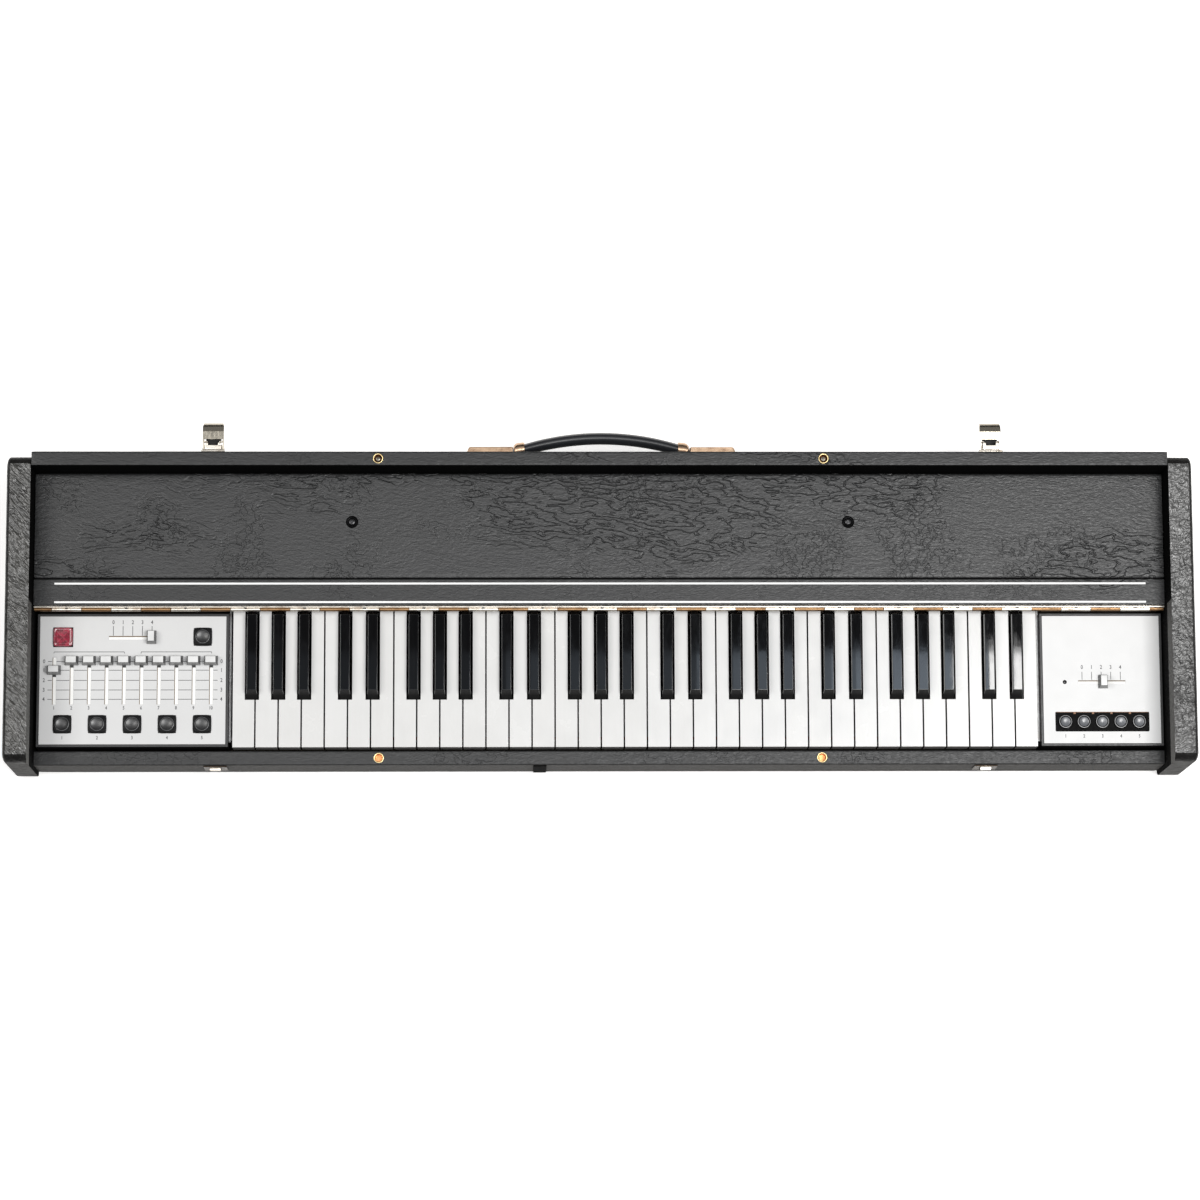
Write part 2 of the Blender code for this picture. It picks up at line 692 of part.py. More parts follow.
def latches():
    ear = (EAR_INNER, EAR_INNER + EAR_THICK)
    flange = (ear[1] + FIT, ear[1] + FIT + FLANGE_SHEET)
    seat = BACK_REAR + FIT
    width, thick, height = LATCH_PLATE
    for name, x in zip(("left", "right"), LATCHES_X):
        plate_low = LATCH_Z - LATCH_PLATE_DROP
        plate = boxes((about(x, width / 2), (seat, seat + thick), (plate_low, plate_low + height)))
        for side in (-1, 1):
            across = sorted((x + side * ear[0], x + side * ear[1]))
            depth = (seat + thick / 2, LATCH_Y + EAR_BEHIND_PIN)
            fused(plate, boxes((across, depth, about(LATCH_Z, EAR_HALF))))
        pin_span = about(x, flange[1] + LATCH_PIN_PROUD)
        pin = rods("X", LATCH_PIN_RADIUS, pin_span, [(LATCH_Y, LATCH_Z)], PIN_SIDES)
        part(name + "_latch_plate", fused(plate, pin), "nickel")
        latch_lever(name, x, flange)
        latch_loop(name, x, flange)


def latch_lever(name, x, flange):
    """A pressed lever: two side flanges under a crowned top that ends in a curled lip."""
    window_end = LOOP_PIVOT[0] + LOOP_WIRE + WINDOW_CLEAR
    under_top = [(back, up - TOP_SHEET) for back, up in ((window_end, LEVER_CROWN_FRONT), *LEVER_CROWN)]
    hollow = [
        (-HOLLOW_BEYOND, HOLLOW_BEYOND), (window_end, HOLLOW_BEYOND), *under_top, LEVER_LIP,
        (LEVER_LIP_FOOT, -HOLLOW_BEYOND), (-HOLLOW_BEYOND, -HOLLOW_BEYOND),
    ]
    placed = lambda points: [(LATCH_Y + back, LATCH_Z + up) for back, up in points]
    lever = outline("X", placed(LEVER_OUTLINE), about(x, flange[1]))
    cut(lever, outline("X", placed(hollow), about(x, flange[0])))
    through = about(x, flange[1] + FIT)
    pivot_hole = rods("X", LATCH_PIN_RADIUS + FIT, through, [(LATCH_Y, LATCH_Z)], PIN_SIDES)
    loop_hole = rods("X", LOOP_WIRE + SWING, through, placed([LOOP_PIVOT]), PIN_SIDES)
    cut(lever, pivot_hole, loop_hole)
    part(name + "_latch_lever", lever, "nickel", (x, LATCH_Y, LATCH_Z))


def latch_loop(name, x, flange):
    """A wire bail whose ends turn out into the holes of the lever's flanges."""
    y = LATCH_Y + LOOP_PIVOT[0]
    z = LATCH_Z + LOOP_PIVOT[1]
    bar_y = y + LOOP_BAR[0]
    bar_z = z + LOOP_BAR[1]
    slope = math.hypot(*LOOP_BAR)
    step_y = LOOP_BAR[0] / slope * LOOP_BEND
    step_z = LOOP_BAR[1] / slope * LOOP_BEND
    half = [
        (flange[1] - FIT, y, z),
        (LOOP_HALF + LOOP_BEND, y, z),
        (LOOP_HALF, y + step_y, z + step_z),
        (LOOP_HALF, bar_y - step_y, bar_z - step_z),
        (LOOP_HALF - LOOP_BEND, bar_y, bar_z),
    ]
    route = [(x - across, back, up) for across, back, up in half]
    route += [(x + across, back, up) for across, back, up in reversed(half)]
    part(name + "_latch_loop", tube(route, LOOP_WIRE), "nickel", (x, y, z))


def front_catches():
    plate_rear = RAIL_SETBACK - FIT
    plate_front = plate_rear - CATCH_THICK
    root = plate_front + HOOK_ROOT
    tip_rear = HOOK_TIP + HOOK_SHEET
    hook = [
        (root, HOOK_ROOT_Z[0]), (root, HOOK_ROOT_Z[1]), (tip_rear, HOOK_ROOT_Z[1] + HOOK_CROOK),
        (tip_rear, HOOK_TIP_Z[1]), (HOOK_TIP, HOOK_TIP_Z[1]), (HOOK_TIP, HOOK_TIP_Z[0]),
    ]
    for name, x in zip(("left_catch", "right_catch"), CATCHES_X):
        plate = boxes((about(x, CATCH_WIDTH / 2), (plate_front, plate_rear), CATCH_Z))
        part(name, fused(plate, outline("X", hook, about(x, CATCH_HOOK_WIDTH / 2))), "nickel")


# carrying handle

def grip_centre(x):
    """How far the grip's middle line bows out from the pivot at this distance from its centre."""
    return HANDLE_Y + GRIP_BOW * (1.0 - (x / BRACKET_FROM) ** 2)


def handle():
    pivot = (HANDLE_X, HANDLE_Y, HANDLE_Z)
    seat = BACK_REAR + FIT
    proud = BACK_REAR + BRACKET_PROUD
    shoulder = BRACKET_FROM + BRACKET_LENGTH - BRACKET_NOSE
    arc = []
    for step in range(NOSE_STEPS + 1):
        turn = math.pi / 2 * (1 - step / NOSE_STEPS)
        arc.append((shoulder + BRACKET_NOSE * math.cos(turn), seat + (proud - seat) * math.sin(turn)))
    ferrules = []
    bore_end = BRACKET_FROM + HANDLE_PIN_REACH + FIT
    for name, side in (("left", -1), ("right", 1)):
        points = [(BRACKET_FROM, seat), (BRACKET_FROM, proud)] + arc
        points = [(HANDLE_X + side * x, y) for x, y in points]
        bracket = outline("Z", points, about(HANDLE_Z, BRACKET_HEIGHT / 2))
        rounded(bracket, BRACKET_ROUND, 1)
        span = sorted((HANDLE_X + side * (BRACKET_FROM - FIT), HANDLE_X + side * bore_end))
        hole = rods("X", HANDLE_PIN_RADIUS + FIT, span, [(HANDLE_Y, HANDLE_Z)], PIN_SIDES)
        part(name + "_handle_bracket", cut(bracket, hole), "brass")
        ferrules.append(ferrule(side))
    end = BRACKET_FROM - FIT - FERRULE_LENGTH / 2
    steps = [end * (2 * k / GRIP_STEPS - 1) for k in range(GRIP_STEPS + 1)]
    half = GRIP_THICK / 2
    outer = [(HANDLE_X + x, grip_centre(x) + half) for x in steps]
    inner = [(HANDLE_X + x, grip_centre(x) - half) for x in reversed(steps)]
    grip = outline("Z", outer + inner, about(HANDLE_Z, GRIP_HEIGHT / 2))
    part("handle_grip", fused(rounded(grip, GRIP_ROUND), *ferrules), "black", pivot)


def ferrule(side):
    """An oval metal sleeve between grip and bracket, with the pin that turns in the bracket."""
    far = BRACKET_FROM - FIT
    near = far - FERRULE_LENGTH
    bm = bmesh.new()
    middle = (near + far) / 2
    turn = Matrix.Translation((middle, 0.0, 0.0)) @ AXIS_TURN["X"]
    bmesh.ops.create_cone(
        bm, cap_ends=True, segments=FERRULE_SIDES, radius1=1.0, radius2=1.0,
        depth=FERRULE_LENGTH, matrix=turn,
    )
    half_y = GRIP_THICK / 2 + FERRULE_PROUD[0]
    half_z = GRIP_HEIGHT / 2 + FERRULE_PROUD[1]
    for corner in bm.verts:
        lean = 0.0 if corner.co.x < middle else FERRULE_LEAN
        corner.co.y = grip_centre(near) - lean + corner.co.y * half_y
        corner.co.z = HANDLE_Z + corner.co.z * half_z
        corner.co.x = HANDLE_X + side * corner.co.x
    bmesh.ops.recalc_face_normals(bm, faces=bm.faces)
    sleeve = from_bmesh(bm)
    ends = (far - HANDLE_PIN_ROOT, far + HANDLE_PIN_REACH)
    span = sorted(HANDLE_X + side * end for end in ends)
    return fused(sleeve, rods("X", HANDLE_PIN_RADIUS, span, [(HANDLE_Y, HANDLE_Z)], PIN_SIDES))


# control panels

def in_row(middle, pitch, count):
    return [middle + (k - (count - 1) / 2) * pitch for k in range(count)]


def slider_places():
    return in_row(LEFT_MIDDLE, SLIDER_PITCH, SLIDERS)


def button_places():
    return in_row(LEFT_MIDDLE, BUTTON_PITCH, VOICE_BUTTONS)


def solo_places():
    return in_row(RIGHT_MIDDLE, SOLO_PITCH, SOLO_BUTTONS)


SLOT_Y = PLATE_FRONT + SLIDER_ROW_BACK
SLOT_RUN = about(SLOT_Y, SLOT_LENGTH / 2)
SUSTAIN_X = LEFT_MIDDLE + SUSTAIN_MIDDLE
SUSTAIN_Y = PLATE_FRONT + LEVEL_SLOT_BACK
VOLUME_X = RIGHT_MIDDLE + VOLUME_MIDDLE
VOLUME_Y = PLATE_FRONT + VOLUME_BACK
BUTTON_Y = PLATE_FRONT + BUTTON_ROW_BACK
BANK_Y = PLATE_FRONT + BANK_BACK
POWER_PLACE = (LEFT_MIDDLE + POWER_OFFSET, PLATE_FRONT + POWER_BACK)
BASS_PLACE = (LEFT_MIDDLE + BASS_OFFSET, PLATE_FRONT + BASS_BACK)
TRIMMER_PLACE = (RIGHT_MIDDLE + TRIMMER_OFFSET, PLATE_FRONT + TRIMMER_BACK)


def square_buttons():
    """Name, place and side of every square button."""
    rows = [(f"voice_button_{k + 1}", (x, BUTTON_Y), BUTTON) for k, x in enumerate(button_places())]
    rows.append(("bass_button", BASS_PLACE, BUTTON))
    rows.append(("power_button", POWER_PLACE, POWER_BUTTON))
    return rows


def panels():
    through = (PLATE_LOW - FIT, PLATE_TOP + FIT)
    half_slot = SLOT_WIDTH / 2
    run = SLOT_LENGTH / 2
    holes = [(about(x, half_slot), SLOT_RUN, through) for x in slider_places()]
    holes.append((about(SUSTAIN_X, run), about(SUSTAIN_Y, half_slot), through))
    for _, (x, y), side in square_buttons():
        hole = side / 2 + BUTTON_HOLE_CLEAR
        holes.append((about(x, hole), about(y, hole), through))
    depth = (PLATE_FRONT, PLATE_REAR)
    part("left_panel", cut(boxes((LEFT_PLATE, depth, PLATE_Z)), boxes(*holes)), "plate")
    level = (about(VOLUME_X, run), about(VOLUME_Y, half_slot), through)
    bank = (about(RIGHT_MIDDLE, BANK_WIDTH / 2), about(BANK_Y, BANK_DEPTH / 2), through)
    trimmer = rods("Z", TRIMMER_RADIUS, through, [TRIMMER_PLACE], TRIMMER_SIDES)
    plate = cut(boxes((RIGHT_PLATE, depth, PLATE_Z)), boxes(level, bank), trimmer)
    part("right_panel", plate, "plate")


def panel_frames():
    """Open boxes round each plate, with a ledge that the plate lies on."""
    depth = (PLATE_FRONT - FIT, PLATE_REAR + FIT)
    ledge_top = PLATE_LOW - FIT
    ledge_low = ledge_top - LEDGE_THICK
    grow = lambda span, by: (span[0] - by, span[1] + by)
    for name, plate in (("left_panel_frame", LEFT_PLATE), ("right_panel_frame", RIGHT_PLATE)):
        across = grow(plate, FIT)
        ring = boxes((grow(across, FRAME_WALL), grow(depth, FRAME_WALL), (FLOOR_IN, PLATE_TOP)))
        above = boxes((across, depth, (ledge_top, PLATE_TOP + FIT)))
        below = boxes((across, depth, (FLOOR_IN - FIT, ledge_low)))
        middle = boxes((
            grow(across, -LEDGE_WIDTH), grow(depth, -LEDGE_WIDTH), (ledge_low - FIT, ledge_top + FIT),
        ))
        part(name, cut(ring, above, below, middle), "black")


def knob(x, y, along_x):
    """A tapered knob on a flat stem that passes through its slot."""
    base = PLATE_TOP + KNOB_CLEAR
    turn = (lambda a, b: (b, a)) if along_x else (lambda a, b: (a, b))
    wide, deep = turn(*KNOB_BASE)
    top_wide, top_deep = turn(*KNOB_TOP)
    stem_wide, stem_deep = turn(STEM_THICK, STEM_LENGTH)
    cap = boxes((about(x, wide / 2), about(y, deep / 2), (base, base + KNOB_HEIGHT)))
    for corner in cap.data.vertices:
        if corner.co.z > base + KNOB_HEIGHT / 2:
            corner.co.x = x + (corner.co.x - x) * top_wide / wide
            corner.co.y = y + (corner.co.y - y) * top_deep / deep
    stem = boxes((about(x, stem_wide / 2), about(y, stem_deep / 2), (STEM_LOW, base + STEM_ROOT)))
    return fused(cap, stem)


def sliders():
    for k, x in enumerate(slider_places()):
        y = SLOT_Y + SLIDER_ZERO - (SCALE_STEP if k == 0 else 0.0)
        part(f"voice_slider_{k + 1}", knob(x, y, False), "knob", (x, y, PLATE_TOP))
    x = SUSTAIN_X + SUSTAIN_REST
    part("sustain_slider", knob(x, SUSTAIN_Y, True), "knob", (x, SUSTAIN_Y, PLATE_TOP))
    x = VOLUME_X + VOLUME_REST
    part("volume_slider", knob(x, VOLUME_Y, True), "knob", (x, VOLUME_Y, PLATE_TOP))


def panel_board(name, plate, tracks, blocks, wells):
    """The board under a panel, with its slider tracks and its switch housings."""
    top = PLATE_LOW - FIT
    root = BOARD_TOP - BOARD_THICK / 2
    run = SLOT_LENGTH / 2
    across = (plate[0] + BOARD_INSET, plate[1] - BOARD_INSET)
    depth = (PLATE_FRONT + BOARD_INSET, PLATE_REAR - BOARD_INSET)
    board = boxes((across, depth, (BOARD_TOP - BOARD_THICK, BOARD_TOP)))
    housings = []
    grooves = []
    for x, y, along_x in tracks:
        outer = [about(x, HOUSING_WIDTH / 2), about(y, run + HOUSING_WALL)]
        inner = [about(x, STEM_THICK / 2 + SLIDE), about(y, run)]
        if along_x:
            outer = [about(x, run + HOUSING_WALL), about(y, HOUSING_WIDTH / 2)]
            inner = [about(x, run), about(y, STEM_THICK / 2 + SLIDE)]
        housings.append((*outer, (root, top)))
        grooves.append((*inner, (STEM_LOW - FIT, top + FIT)))
    housings += [(across, back, (root, up)) for across, back, up in blocks]
    fused(board, boxes(*housings))
    part(name, cut(board, boxes(*grooves), *wells), "board")


def dished(cap, x, y, top):
    """Sinks a shallow round dish into a button's top."""
    bm = bmesh.new()
    place = Matrix.Translation((x, y, top))
    bmesh.ops.create_cone(
        bm, cap_ends=True, segments=DISH_SIDES, radius1=DISH_RADIUS * DISH_FLAT,
        radius2=DISH_RADIUS * (2 - DISH_FLAT), depth=2 * DISH_DEPTH, matrix=place,
    )
    return cut(cap, from_bmesh(bm))


def square_switches():
    """The square buttons; gives back the blocks that they press into and the wells in those."""
    top = PLATE_TOP + BUTTON_PROUD
    low = top - BUTTON_THICK
    stem_low = low - PLUNGER_LENGTH
    block_top = low - BUTTON_TRAVEL - FIT
    half = PLUNGER / 2
    well = half + SLIDE
    blocks = []
    wells = []
    for name, (x, y), side in square_buttons():
        cap = rounded(boxes((about(x, side / 2), about(y, side / 2), (low, top))), BUTTON_ROUND, 1)
        fused(cap, boxes((about(x, half), about(y, half), (stem_low, low + STEM_ROOT))))
        if name == "power_button":
            part(name, cap, "red", (x, y, PLATE_TOP))
        else:
            part(name, dished(cap, x, y, top), "black", (x, y, PLATE_TOP))
        blocks.append((about(x, side / 2), about(y, side / 2), block_top))
        wells.append((about(x, well), about(y, well), (stem_low - BUTTON_TRAVEL - FIT, block_top + FIT)))
    return blocks, boxes(*wells)


def solo_switches():
    """Five round buttons in the bores of one block."""
    top = PLATE_TOP + SOLO_PROUD
    low = top - SOLO_THICK
    stem_low = low - SOLO_PLUNGER_LENGTH
    shelf = low - BUTTON_TRAVEL - FIT
    centres = [(x, BANK_Y) for x in solo_places()]
    for k, (x, y) in enumerate(centres):
        cap = rods("Z", SOLO_RADIUS, (low, top), [(x, y)], SOLO_SIDES)
        fused(cap, rods("Z", PLUNGER / 2, (stem_low, low + STEM_ROOT), [(x, y)], PIN_SIDES))
        part(f"solo_button_{k + 1}", dished(cap, x, y, top), "black", (x, y, PLATE_TOP))
    half_width = BANK_WIDTH / 2 - FIT
    half_depth = BANK_DEPTH / 2 - FIT
    block = (about(RIGHT_MIDDLE, half_width), about(BANK_Y, half_depth), PLATE_LOW + PLATE_THICK / 2)
    wells = rods("Z", SOLO_RADIUS + SOLO_CLEAR, (shelf, PLATE_TOP), centres, SOLO_SIDES)
    bore_z = (stem_low - BUTTON_TRAVEL - FIT, shelf + FIT)
    bores = rods("Z", PLUNGER / 2 + SLIDE, bore_z, centres, PIN_SIDES)
    return [block], [wells, bores]


def controls():
    sliders()
    blocks, wells = square_switches()
    tracks = [(x, SLOT_Y, False) for x in slider_places()]
    tracks.append((SUSTAIN_X, SUSTAIN_Y, True))
    panel_board("left_panel_board", LEFT_PLATE, tracks, blocks, [wells])
    blocks, wells = solo_switches()
    half = TRIMMER_BODY / 2
    x, y = TRIMMER_PLACE
    blocks.append((about(x, half), about(y, half), PLATE_LOW - FIT))
    panel_board("right_panel_board", RIGHT_PLATE, [(VOLUME_X, VOLUME_Y, True)], blocks, wells)


# keys

def lever_underside(rear, front_low):
    """Underside of a key from its front to its tail, notched over the pivot ridge."""
    notch_top = PIVOT_Z + FIT
    return [
        *front_low,
        (RIDGE_Y - NOTCH_HALF, TAIL_LOW),
        (RIDGE_Y - NOTCH_HALF, notch_top),
        (RIDGE_Y + NOTCH_HALF, notch_top),
        (RIDGE_Y + NOTCH_HALF, TAIL_LOW),
        (rear, TAIL_LOW),
    ]


def sharp_places(first_octave, octaves):
    return [
        KEYS_LEFT + (NATURALS_PER_OCTAVE * octave + centre) * KEY_PITCH
        for octave in range(first_octave, first_octave + octaves)
        for centre in SHARP_CENTRES
    ]


def natural_keys(name, first_octave, octaves):
    cap_low = KEY_TOP - CAP_THICK
    step = HINGE_Y - TAIL_STEP_AHEAD
    cap_rear = HINGE_Y + CAP_BEHIND_HINGE
    tail_top = TAIL_LOW + TAIL_THICK
    bar_low = SHARP_TAIL_TOP + TAIL_BAR_CLEAR
    bar_top = bar_low + TAIL_BAR_THICK
    bar_front = TAIL_REAR - TAIL_BAR_DEPTH
    side = lever_underside(TAIL_REAR, [
        (KEY_FRONT, KEY_TOP - LIP_HEIGHT),
        (KEY_FRONT + LIP_THICK, KEY_TOP - LIP_HEIGHT),
        (KEY_FRONT + LIP_THICK, cap_low),
        (step, cap_low),
        (step + TAIL_STEP_RUN, TAIL_LOW),
    ])
    side += [
        (TAIL_REAR, bar_top), (bar_front, bar_top), (bar_front, tail_top),
        (cap_rear, tail_top), (cap_rear, KEY_TOP), (KEY_FRONT, KEY_TOP),
    ]
    keys = []
    first = first_octave * NATURALS_PER_OCTAVE
    for k in range(first, first + octaves * NATURALS_PER_OCTAVE):
        left = KEYS_LEFT + k * KEY_PITCH
        keys.append(outline("X", side, (left + KEY_GAP / 2, left + KEY_PITCH - KEY_GAP / 2)))
    cut_run = (SHARP_FOOT_Y - SHARP_CUT_AHEAD, TAIL_REAR + FIT)
    cut_z = (TAIL_LOW - FIT, KEY_TOP + FIT)
    half = SHARP_CUT_WIDTH / 2
    gaps = [(about(x, half), cut_run, cut_z) for x in sharp_places(first_octave, octaves)]
    left = KEYS_LEFT + first * KEY_PITCH
    right = left + octaves * NATURALS_PER_OCTAVE * KEY_PITCH
    bar = boxes((
        (left + KEY_GAP, right - KEY_GAP),
        (bar_front + FIT, TAIL_REAR - FIT),
        (bar_low, bar_top - FIT),
    ))
    part(name, fused(cut(gathered(keys), boxes(*gaps)), bar), "ivory", (0.0, RIDGE_Y, PIVOT_Z))


def sharp_keys(name, first_octave, octaves):
    front = SHARP_FOOT_Y
    bar_front = TAIL_REAR + SHARP_BAR_BEHIND
    tail_rear = bar_front + TAIL_BAR_DEPTH
    side = lever_underside(tail_rear, [(LEVER_FRONT, TAIL_LOW)])
    side += [(tail_rear, SHARP_TAIL_TOP), (LEVER_FRONT, SHARP_TAIL_TOP)]
    keys = []
    places = sharp_places(first_octave, octaves)
    for x in places:
        cap = boxes((about(x, SHARP_BASE_WIDTH / 2), (front, SHARP_REAR), (SHARP_FOOT, SHARP_TOP)))
        for corner in cap.data.vertices:
            if corner.co.z > KEY_TOP:
                corner.co.x = x + (corner.co.x - x) * SHARP_TOP_WIDTH / SHARP_BASE_WIDTH
                if corner.co.y < LEVER_FRONT:
                    corner.co.y = front + SHARP_SLOPE
        keys.append(fused(cap, outline("X", side, about(x, LEVER_WIDTH / 2))))
    bar = boxes((
        (places[0] - LEVER_WIDTH / 2 + FIT, places[-1] + LEVER_WIDTH / 2 - FIT),
        (bar_front, tail_rear - FIT),
        (TAIL_LOW + FIT, SHARP_TAIL_TOP - FIT),
    ))
    part(name, fused(gathered(keys), bar), "ebony", (0.0, RIDGE_Y, PIVOT_Z))


# inside

def key_frame():
    """The steel frame that carries the keys, with its return springs and contact strip."""
    left = LEFT_PLATE[1] + FIT + FRAME_WALL + FIT
    right = RIGHT_PLATE[0] - FIT - FRAME_WALL - FIT
    plate_top = FLOOR_IN + FRAME_PLATE_THICK
    root = FLOOR_IN + FRAME_PLATE_THICK / 2
    depth = (KEY_FRONT + FRAME_FRONT, SCREW_Y + POST_HALF + FRAME_BEHIND_POSTS)
    frame = boxes(((left, right), depth, (FLOOR_IN, plate_top)))
    inside = (left + FRAME_SIDE_WALL / 2, right - FRAME_SIDE_WALL / 2)
    guide_y = (KEY_FRONT + GUIDE_BACK, KEY_FRONT + GUIDE_BACK + GUIDE_DEPTH)
    guide = boxes((inside, guide_y, (root, KEY_TOP - CAP_THICK - GUIDE_BELOW_CAPS)))
    ridge = boxes((inside, about(RIDGE_Y, RIDGE_HALF), (root, PIVOT_Z - FIT / 2)))
    walls = boxes(
        ((left, left + FRAME_SIDE_WALL), depth, (root, PIVOT_Z)),
        ((right - FRAME_SIDE_WALL, right), depth, (root, PIVOT_Z)),
    )
    screws = [(-SCREW_SPREAD, SCREW_Y), (SCREW_SPREAD, SCREW_Y)]
    post_z = (root, RAIL_UNDER_COVER)
    posts = boxes(*[(about(x, POST_HALF), about(y, POST_HALF), post_z) for x, y in screws])
    bore_z = (RAIL_UNDER_COVER - POST_BORE_DEPTH, RAIL_UNDER_COVER + FIT)
    bores = rods("Z", POST_BORE, bore_z, screws, PIN_SIDES)
    feet = [(x, RIDGE_Y + SPRING_BEHIND) for x in spring_places()]
    springs = rods("Z", SPRING_RADIUS, (root, TAIL_LOW - FIT), feet, SPRING_SIDES)
    strip_y = [HINGE_Y - ahead for ahead in CONTACTS_AHEAD]
    contacts = boxes(((KEYS_LEFT, KEYS_RIGHT), strip_y, (root, plate_top + CONTACTS_RISE)))
    fused(frame, guide, ridge, walls, posts, springs, contacts)
    part("key_frame", cut(frame, bores), "steel")


def spring_places():
    """Middle of each key's tail, sharps first."""
    places = sharp_places(0, OCTAVES)
    for index in range(OCTAVES * NATURALS_PER_OCTAVE):
        left, right = natural_tail(index)
        places.append((left + right) / 2)
    return places


def natural_tail(index):
    """Left and right sides of a natural behind the sharps' cut-outs."""
    left = KEYS_LEFT + index * KEY_PITCH
    right = left + KEY_PITCH
    half = SHARP_CUT_WIDTH / 2
    for x in sharp_places(0, OCTAVES):
        if left < x + half < right and x - half <= left:
            left = x + half
        if left < x - half < right and x + half >= right:
            right = x - half
    return left, right


def main_board():
    back = (SCREW_Y + POST_HALF + MAIN_BOARD_BEHIND_POSTS, BACK_FRONT - MAIN_BOARD_AHEAD)
    board = boxes((MAIN_BOARD_X, back, (FLOOR_IN, FLOOR_IN + BOARD_THICK)))
    wide, deep, high = CHIP
    chip_y = about(sum(back) / 2, deep / 2)
    chip_z = (FLOOR_IN + BOARD_THICK / 2, FLOOR_IN + BOARD_THICK + high)
    places = in_row(sum(MAIN_BOARD_X) / 2, CHIP_PITCH, CHIPS)
    chips = boxes(*[(about(x, wide / 2), chip_y, chip_z) for x in places])
    part("main_board", fused(board, chips), "board")


def mains_transformer():
    wide, deep, high = TRANSFORMER
    y = BACK_FRONT - TRANSFORMER_AHEAD
    top = FLOOR_IN + high
    core = boxes((about(TRANSFORMER_X, wide / 2), about(y, deep / 4), (FLOOR_IN, top)))
    winding_z = (FLOOR_IN + WINDING_INSET, top - WINDING_INSET)
    winding = boxes((about(TRANSFORMER_X, wide / 4), about(y, deep / 2), winding_z))
    part("mains_transformer", fused(core, winding), "iron")


def socket_panel():
    """Rear plate with the output jacks and the mains inlet, screwed over a window in the back board."""
    wide, thick, high = SOCKET_PANEL
    front = BACK_REAR + FIT
    rear = front + thick
    plate = boxes((about(SOCKET_PANEL_X, wide / 2), (front, rear), about(SOCKET_PANEL_Z, high / 2)))
    first = SOCKET_PANEL_X + JACKS_OFFSET
    jacks = [(first + k * JACK_PITCH, SOCKET_PANEL_Z) for k in range(JACKS)]
    body_front = BACK_FRONT + BODY_BEHIND_WALL
    barrels = rods("Y", JACK_RADIUS, (body_front, rear + JACK_PROUD), jacks, JACK_SIDES)
    inlet_x = SOCKET_PANEL_X + INLET_OFFSET
    placed = lambda size, depth: boxes((
        about(inlet_x, size[0] / 2), depth, about(SOCKET_PANEL_Z, size[1] / 2),
    ))
    inlet = placed(INLET, (body_front, front + thick / 2))
    fused(plate, barrels, inlet)
    hollow = (body_front + BODY_WALL, rear + JACK_PROUD + FIT)
    bores = rods("Y", JACK_BORE, hollow, jacks, JACK_SIDES)
    part("socket_panel", cut(plate, bores, placed(INLET_POCKET, hollow)), "black")


case()
cover()
hinge()
latches()
front_catches()
handle()
panels()
panel_frames()
controls()
natural_keys("lower_naturals", 0, LOWER_OCTAVES)
natural_keys("upper_naturals", LOWER_OCTAVES, UPPER_OCTAVES)
sharp_keys("lower_sharps", 0, LOWER_OCTAVES)
sharp_keys("upper_sharps", LOWER_OCTAVES, UPPER_OCTAVES)
key_frame()
main_board()
mains_transformer()
socket_panel()
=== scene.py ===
# The looks of a string synthesizer: a flat keyboard case with its lid off, dressed round its frame.
import math

import bmesh
import bpy
from mathutils import Euler, Matrix, Vector


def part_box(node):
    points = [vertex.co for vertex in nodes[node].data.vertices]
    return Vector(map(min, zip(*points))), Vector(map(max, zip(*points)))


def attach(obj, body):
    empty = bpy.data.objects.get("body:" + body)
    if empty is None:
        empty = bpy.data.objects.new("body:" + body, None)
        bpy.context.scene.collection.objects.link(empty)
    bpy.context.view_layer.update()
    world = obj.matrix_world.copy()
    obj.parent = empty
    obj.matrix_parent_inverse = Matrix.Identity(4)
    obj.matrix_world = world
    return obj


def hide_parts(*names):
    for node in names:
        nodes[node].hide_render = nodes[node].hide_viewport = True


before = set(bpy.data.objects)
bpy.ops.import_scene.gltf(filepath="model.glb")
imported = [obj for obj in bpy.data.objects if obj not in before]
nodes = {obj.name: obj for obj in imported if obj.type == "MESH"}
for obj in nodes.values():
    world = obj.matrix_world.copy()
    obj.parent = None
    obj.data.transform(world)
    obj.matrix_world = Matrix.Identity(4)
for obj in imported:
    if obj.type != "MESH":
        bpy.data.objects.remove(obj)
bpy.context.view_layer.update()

scene = bpy.context.scene
mm = 0.001


# node trees

class Wire:  # one output socket; arithmetic on it adds Math nodes to its tree
    def __init__(self, graph, socket):
        self.graph = graph
        self.socket = socket

    def maths(self, operation, *terms):
        return self.graph.add("ShaderNodeMath", {"operation": operation}, dict(enumerate(terms)))

    def of(self, operation):  # maths on this value alone
        return self.maths(operation, self)

    def __add__(self, other):
        return self.maths("ADD", self, other)

    def __sub__(self, other):
        return self.maths("SUBTRACT", self, other)

    def __rsub__(self, other):
        return self.maths("SUBTRACT", other, self)

    def __mul__(self, other):
        return self.maths("MULTIPLY", self, other)

    def __truediv__(self, other):
        return self.maths("DIVIDE", self, other)

    def __abs__(self):
        return self.of("ABSOLUTE")

    __radd__ = __add__
    __rmul__ = __mul__


